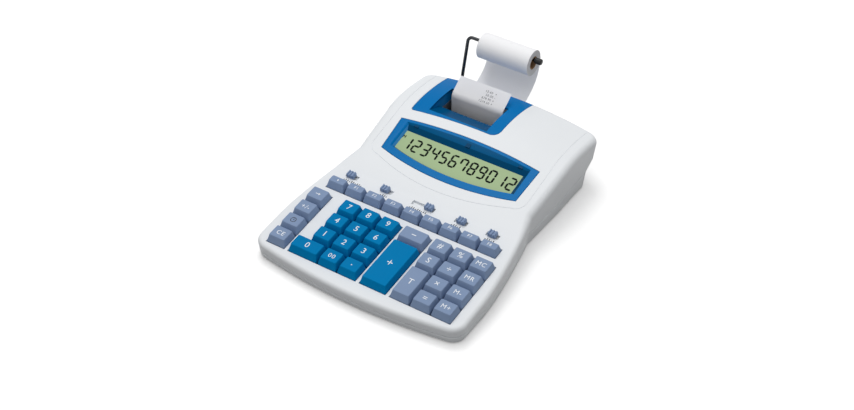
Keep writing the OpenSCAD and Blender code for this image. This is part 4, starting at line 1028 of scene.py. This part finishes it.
# Switch marks: short black ticks printed on the deck in front of each slot, for the places that the
# knob stops at. Every third one is shorter.
tick_v, tick_h, tick_w, tick_pitch, tick_short, tick_low, tick_high = 97.4, 2.3, 0.85, 2.1, 0.6, -0.05, 0.04
short_every, span_slack = 3, 0.1
tick_spans = [(-82, -62), (-41, -34), (-9, 9), (36, 46), (71, 81)]
ticks = []
for first, last in tick_spans:
    for k, x in enumerate(np.arange(first, last + span_slack, tick_pitch)):
        rise = tick_h if k % short_every else tick_short * tick_h
        ticks.append(prism(centred(x, tick_w, tick_v, tick_v + rise), tick_low, tick_high, deck_place))
piece("switch_marks", join(*ticks), "case", [legend_black])

# Switch knobs: five small ribbed slides moulded in slate ABS. Each is pushed through its slot in the deck,
# and a white plate on its neck, under the deck, holds it there and closes the slot.
knob_w, knob_d, knob_h, knob_gap, knob_round, least_round = 8.0, 6.0, 4.6, 0.1, 0.45, 0.1
neck_w, neck_d, neck_top, neck_round = 4, 2.6, 0.3, 0.2
rib_w, rib_pitch, rib_h, rib_round = 1.2, 2.9, 0.9, 0.3
plate_w, plate_lap, plate_t, plate_round, long_plate = 21, 1.4, 1.2, 0.2, {"switch_decimal": 42}
knobs = [("switch_rounding", -78), ("switch_print", -40), ("switch_decimal", 8), ("switch_count", 42.5),
         ("switch_rate", 75)]
plate_low = -(wall * cos(deck_slope) + knob_gap + plate_t)


def soft_block(x, w, d, low, high, r):
    """A block about x with rounded upright edges, and a top softened by a quarter circle."""
    def level(m, h):
        """The block's outline drawn in by m, at a height."""
        outline = soft_oblong(x - w / 2 + m, x + w / 2 - m, m - d / 2, d / 2 - m, max(r - m, least_round))
        return raised(outline, h)
    tops = [level(r * (1 - sin(a)), high - r * (1 - cos(a))) for a in np.linspace(0, np.pi / 2, 5)]
    return stack_mesh(tops + [level(0, low)])


for name, x in knobs:
    width, depth = long_plate.get(name, plate_w), slot_d + 2 * plate_lap
    plate = soft_block(0, width, depth, plate_low, plate_low + plate_t, plate_round)
    blocks = [soft_block(0, knob_w, knob_d, knob_gap, knob_h - rib_h, knob_round),
              soft_block(0, neck_w, neck_d, plate_low, neck_top, neck_round)]
    blocks += [soft_block(k * rib_pitch, rib_w, knob_d, knob_gap, knob_h, rib_round) for k in (-1, 0, 1)]
    points, faces = join(plate, *blocks)
    plate_faces = len(plate[1])
    piece(name + "_knob", (deck_place(points + [x, switch_v, 0]), faces), name,
          [key_slate, white_plastic], [name],
          face_finish=[1] * plate_faces + [0] * (len(faces) - plate_faces))

# Studio: a white floor, a large soft lamp high at the left and a little behind, and a weaker one high in
# front, with the camera at the photograph's angle. Floor and world show white to the camera and in
# reflections, and the floor keeps the shadow.
floor_size, floor_seen, floor_bounce, floor_glow, world_light = 3.0, 0.95, 0.22, 0.24, 0.48
camera_place, turn_angle, rise_angle = (0.5973, -0.9373, 0.9129), radians(33.475), radians(39.284)
lens_length, sensor_width = 64.96, 36
floor_mesh = bpy.data.meshes.new("floor")
floor_mesh.from_pydata(raised(oblong(-floor_size, floor_size, -floor_size, floor_size), 0).tolist(), [],
                       [(0, 1, 2, 3)])
floor = new_object("floor", floor_mesh)


def show(tree, socket, unseen, seen):
    """Gives a socket one strength for light that falls, and another for rays from the camera, reflections
    and see-through surfaces."""
    path = tree.nodes.new("ShaderNodeLightPath")
    sees = path.outputs["Is Camera Ray"]
    for kind in ("Is Glossy Ray", "Is Transmission Ray"):
        either = tree.nodes.new("ShaderNodeMath")
        either.operation = "MAXIMUM"
        tree.links.new(sees, either.inputs[0])
        tree.links.new(path.outputs[kind], either.inputs[1])
        sees = either.outputs["Value"]
    ranged(tree, sees, unseen, seen, socket)


floor_paint, floor_tree, floor_shader = new_finish("floor_paint")
show(floor_tree, floor_shader["Base Color"], floor_bounce, floor_seen)
show(floor_tree, floor_shader["Emission Strength"], 0, floor_glow)
floor_shader["Roughness"].default_value = 0.9
floor_shader["Specular IOR Level"].default_value = 0.1
floor_shader["Emission Color"].default_value = (1, 1, 1, 1)
floor_mesh.materials.append(floor_paint)


def lamp(name, place, size, watts):
    """A square soft lamp that faces the middle of the floor."""
    light = bpy.data.lights.new(name, "AREA")
    light.size, light.energy = size, watts
    made = new_object(name, light)
    made.location = place
    made.rotation_euler = (-Vector(place)).to_track_quat("-Z", "Y").to_euler()


lamp("key_lamp", place=(-0.45, 0.35, 1.6), size=0.8, watts=10)
lamp("fill_lamp", place=(0.1, -0.4, 1.9), size=1.0, watts=6.2)
world = bpy.data.worlds.new("studio")
bpy.context.scene.world = world
world.use_nodes = True
world_shader = world.node_tree.nodes["Background"].inputs
world_shader["Color"].default_value = (1, 1, 1, 1)
show(world.node_tree, world_shader["Strength"], world_light, 1)

lens = bpy.data.cameras.new("camera")
lens.lens, lens.sensor_width = lens_length, sensor_width
camera = new_object("camera", lens)
camera.location = camera_place
sight = Vector((-sin(turn_angle) * cos(rise_angle), cos(turn_angle) * cos(rise_angle), -sin(rise_angle)))
camera.rotation_euler = sight.to_track_quat("-Z", "Y").to_euler()
bpy.context.scene.camera = camera
bpy.context.scene.view_settings.view_transform = "Standard"
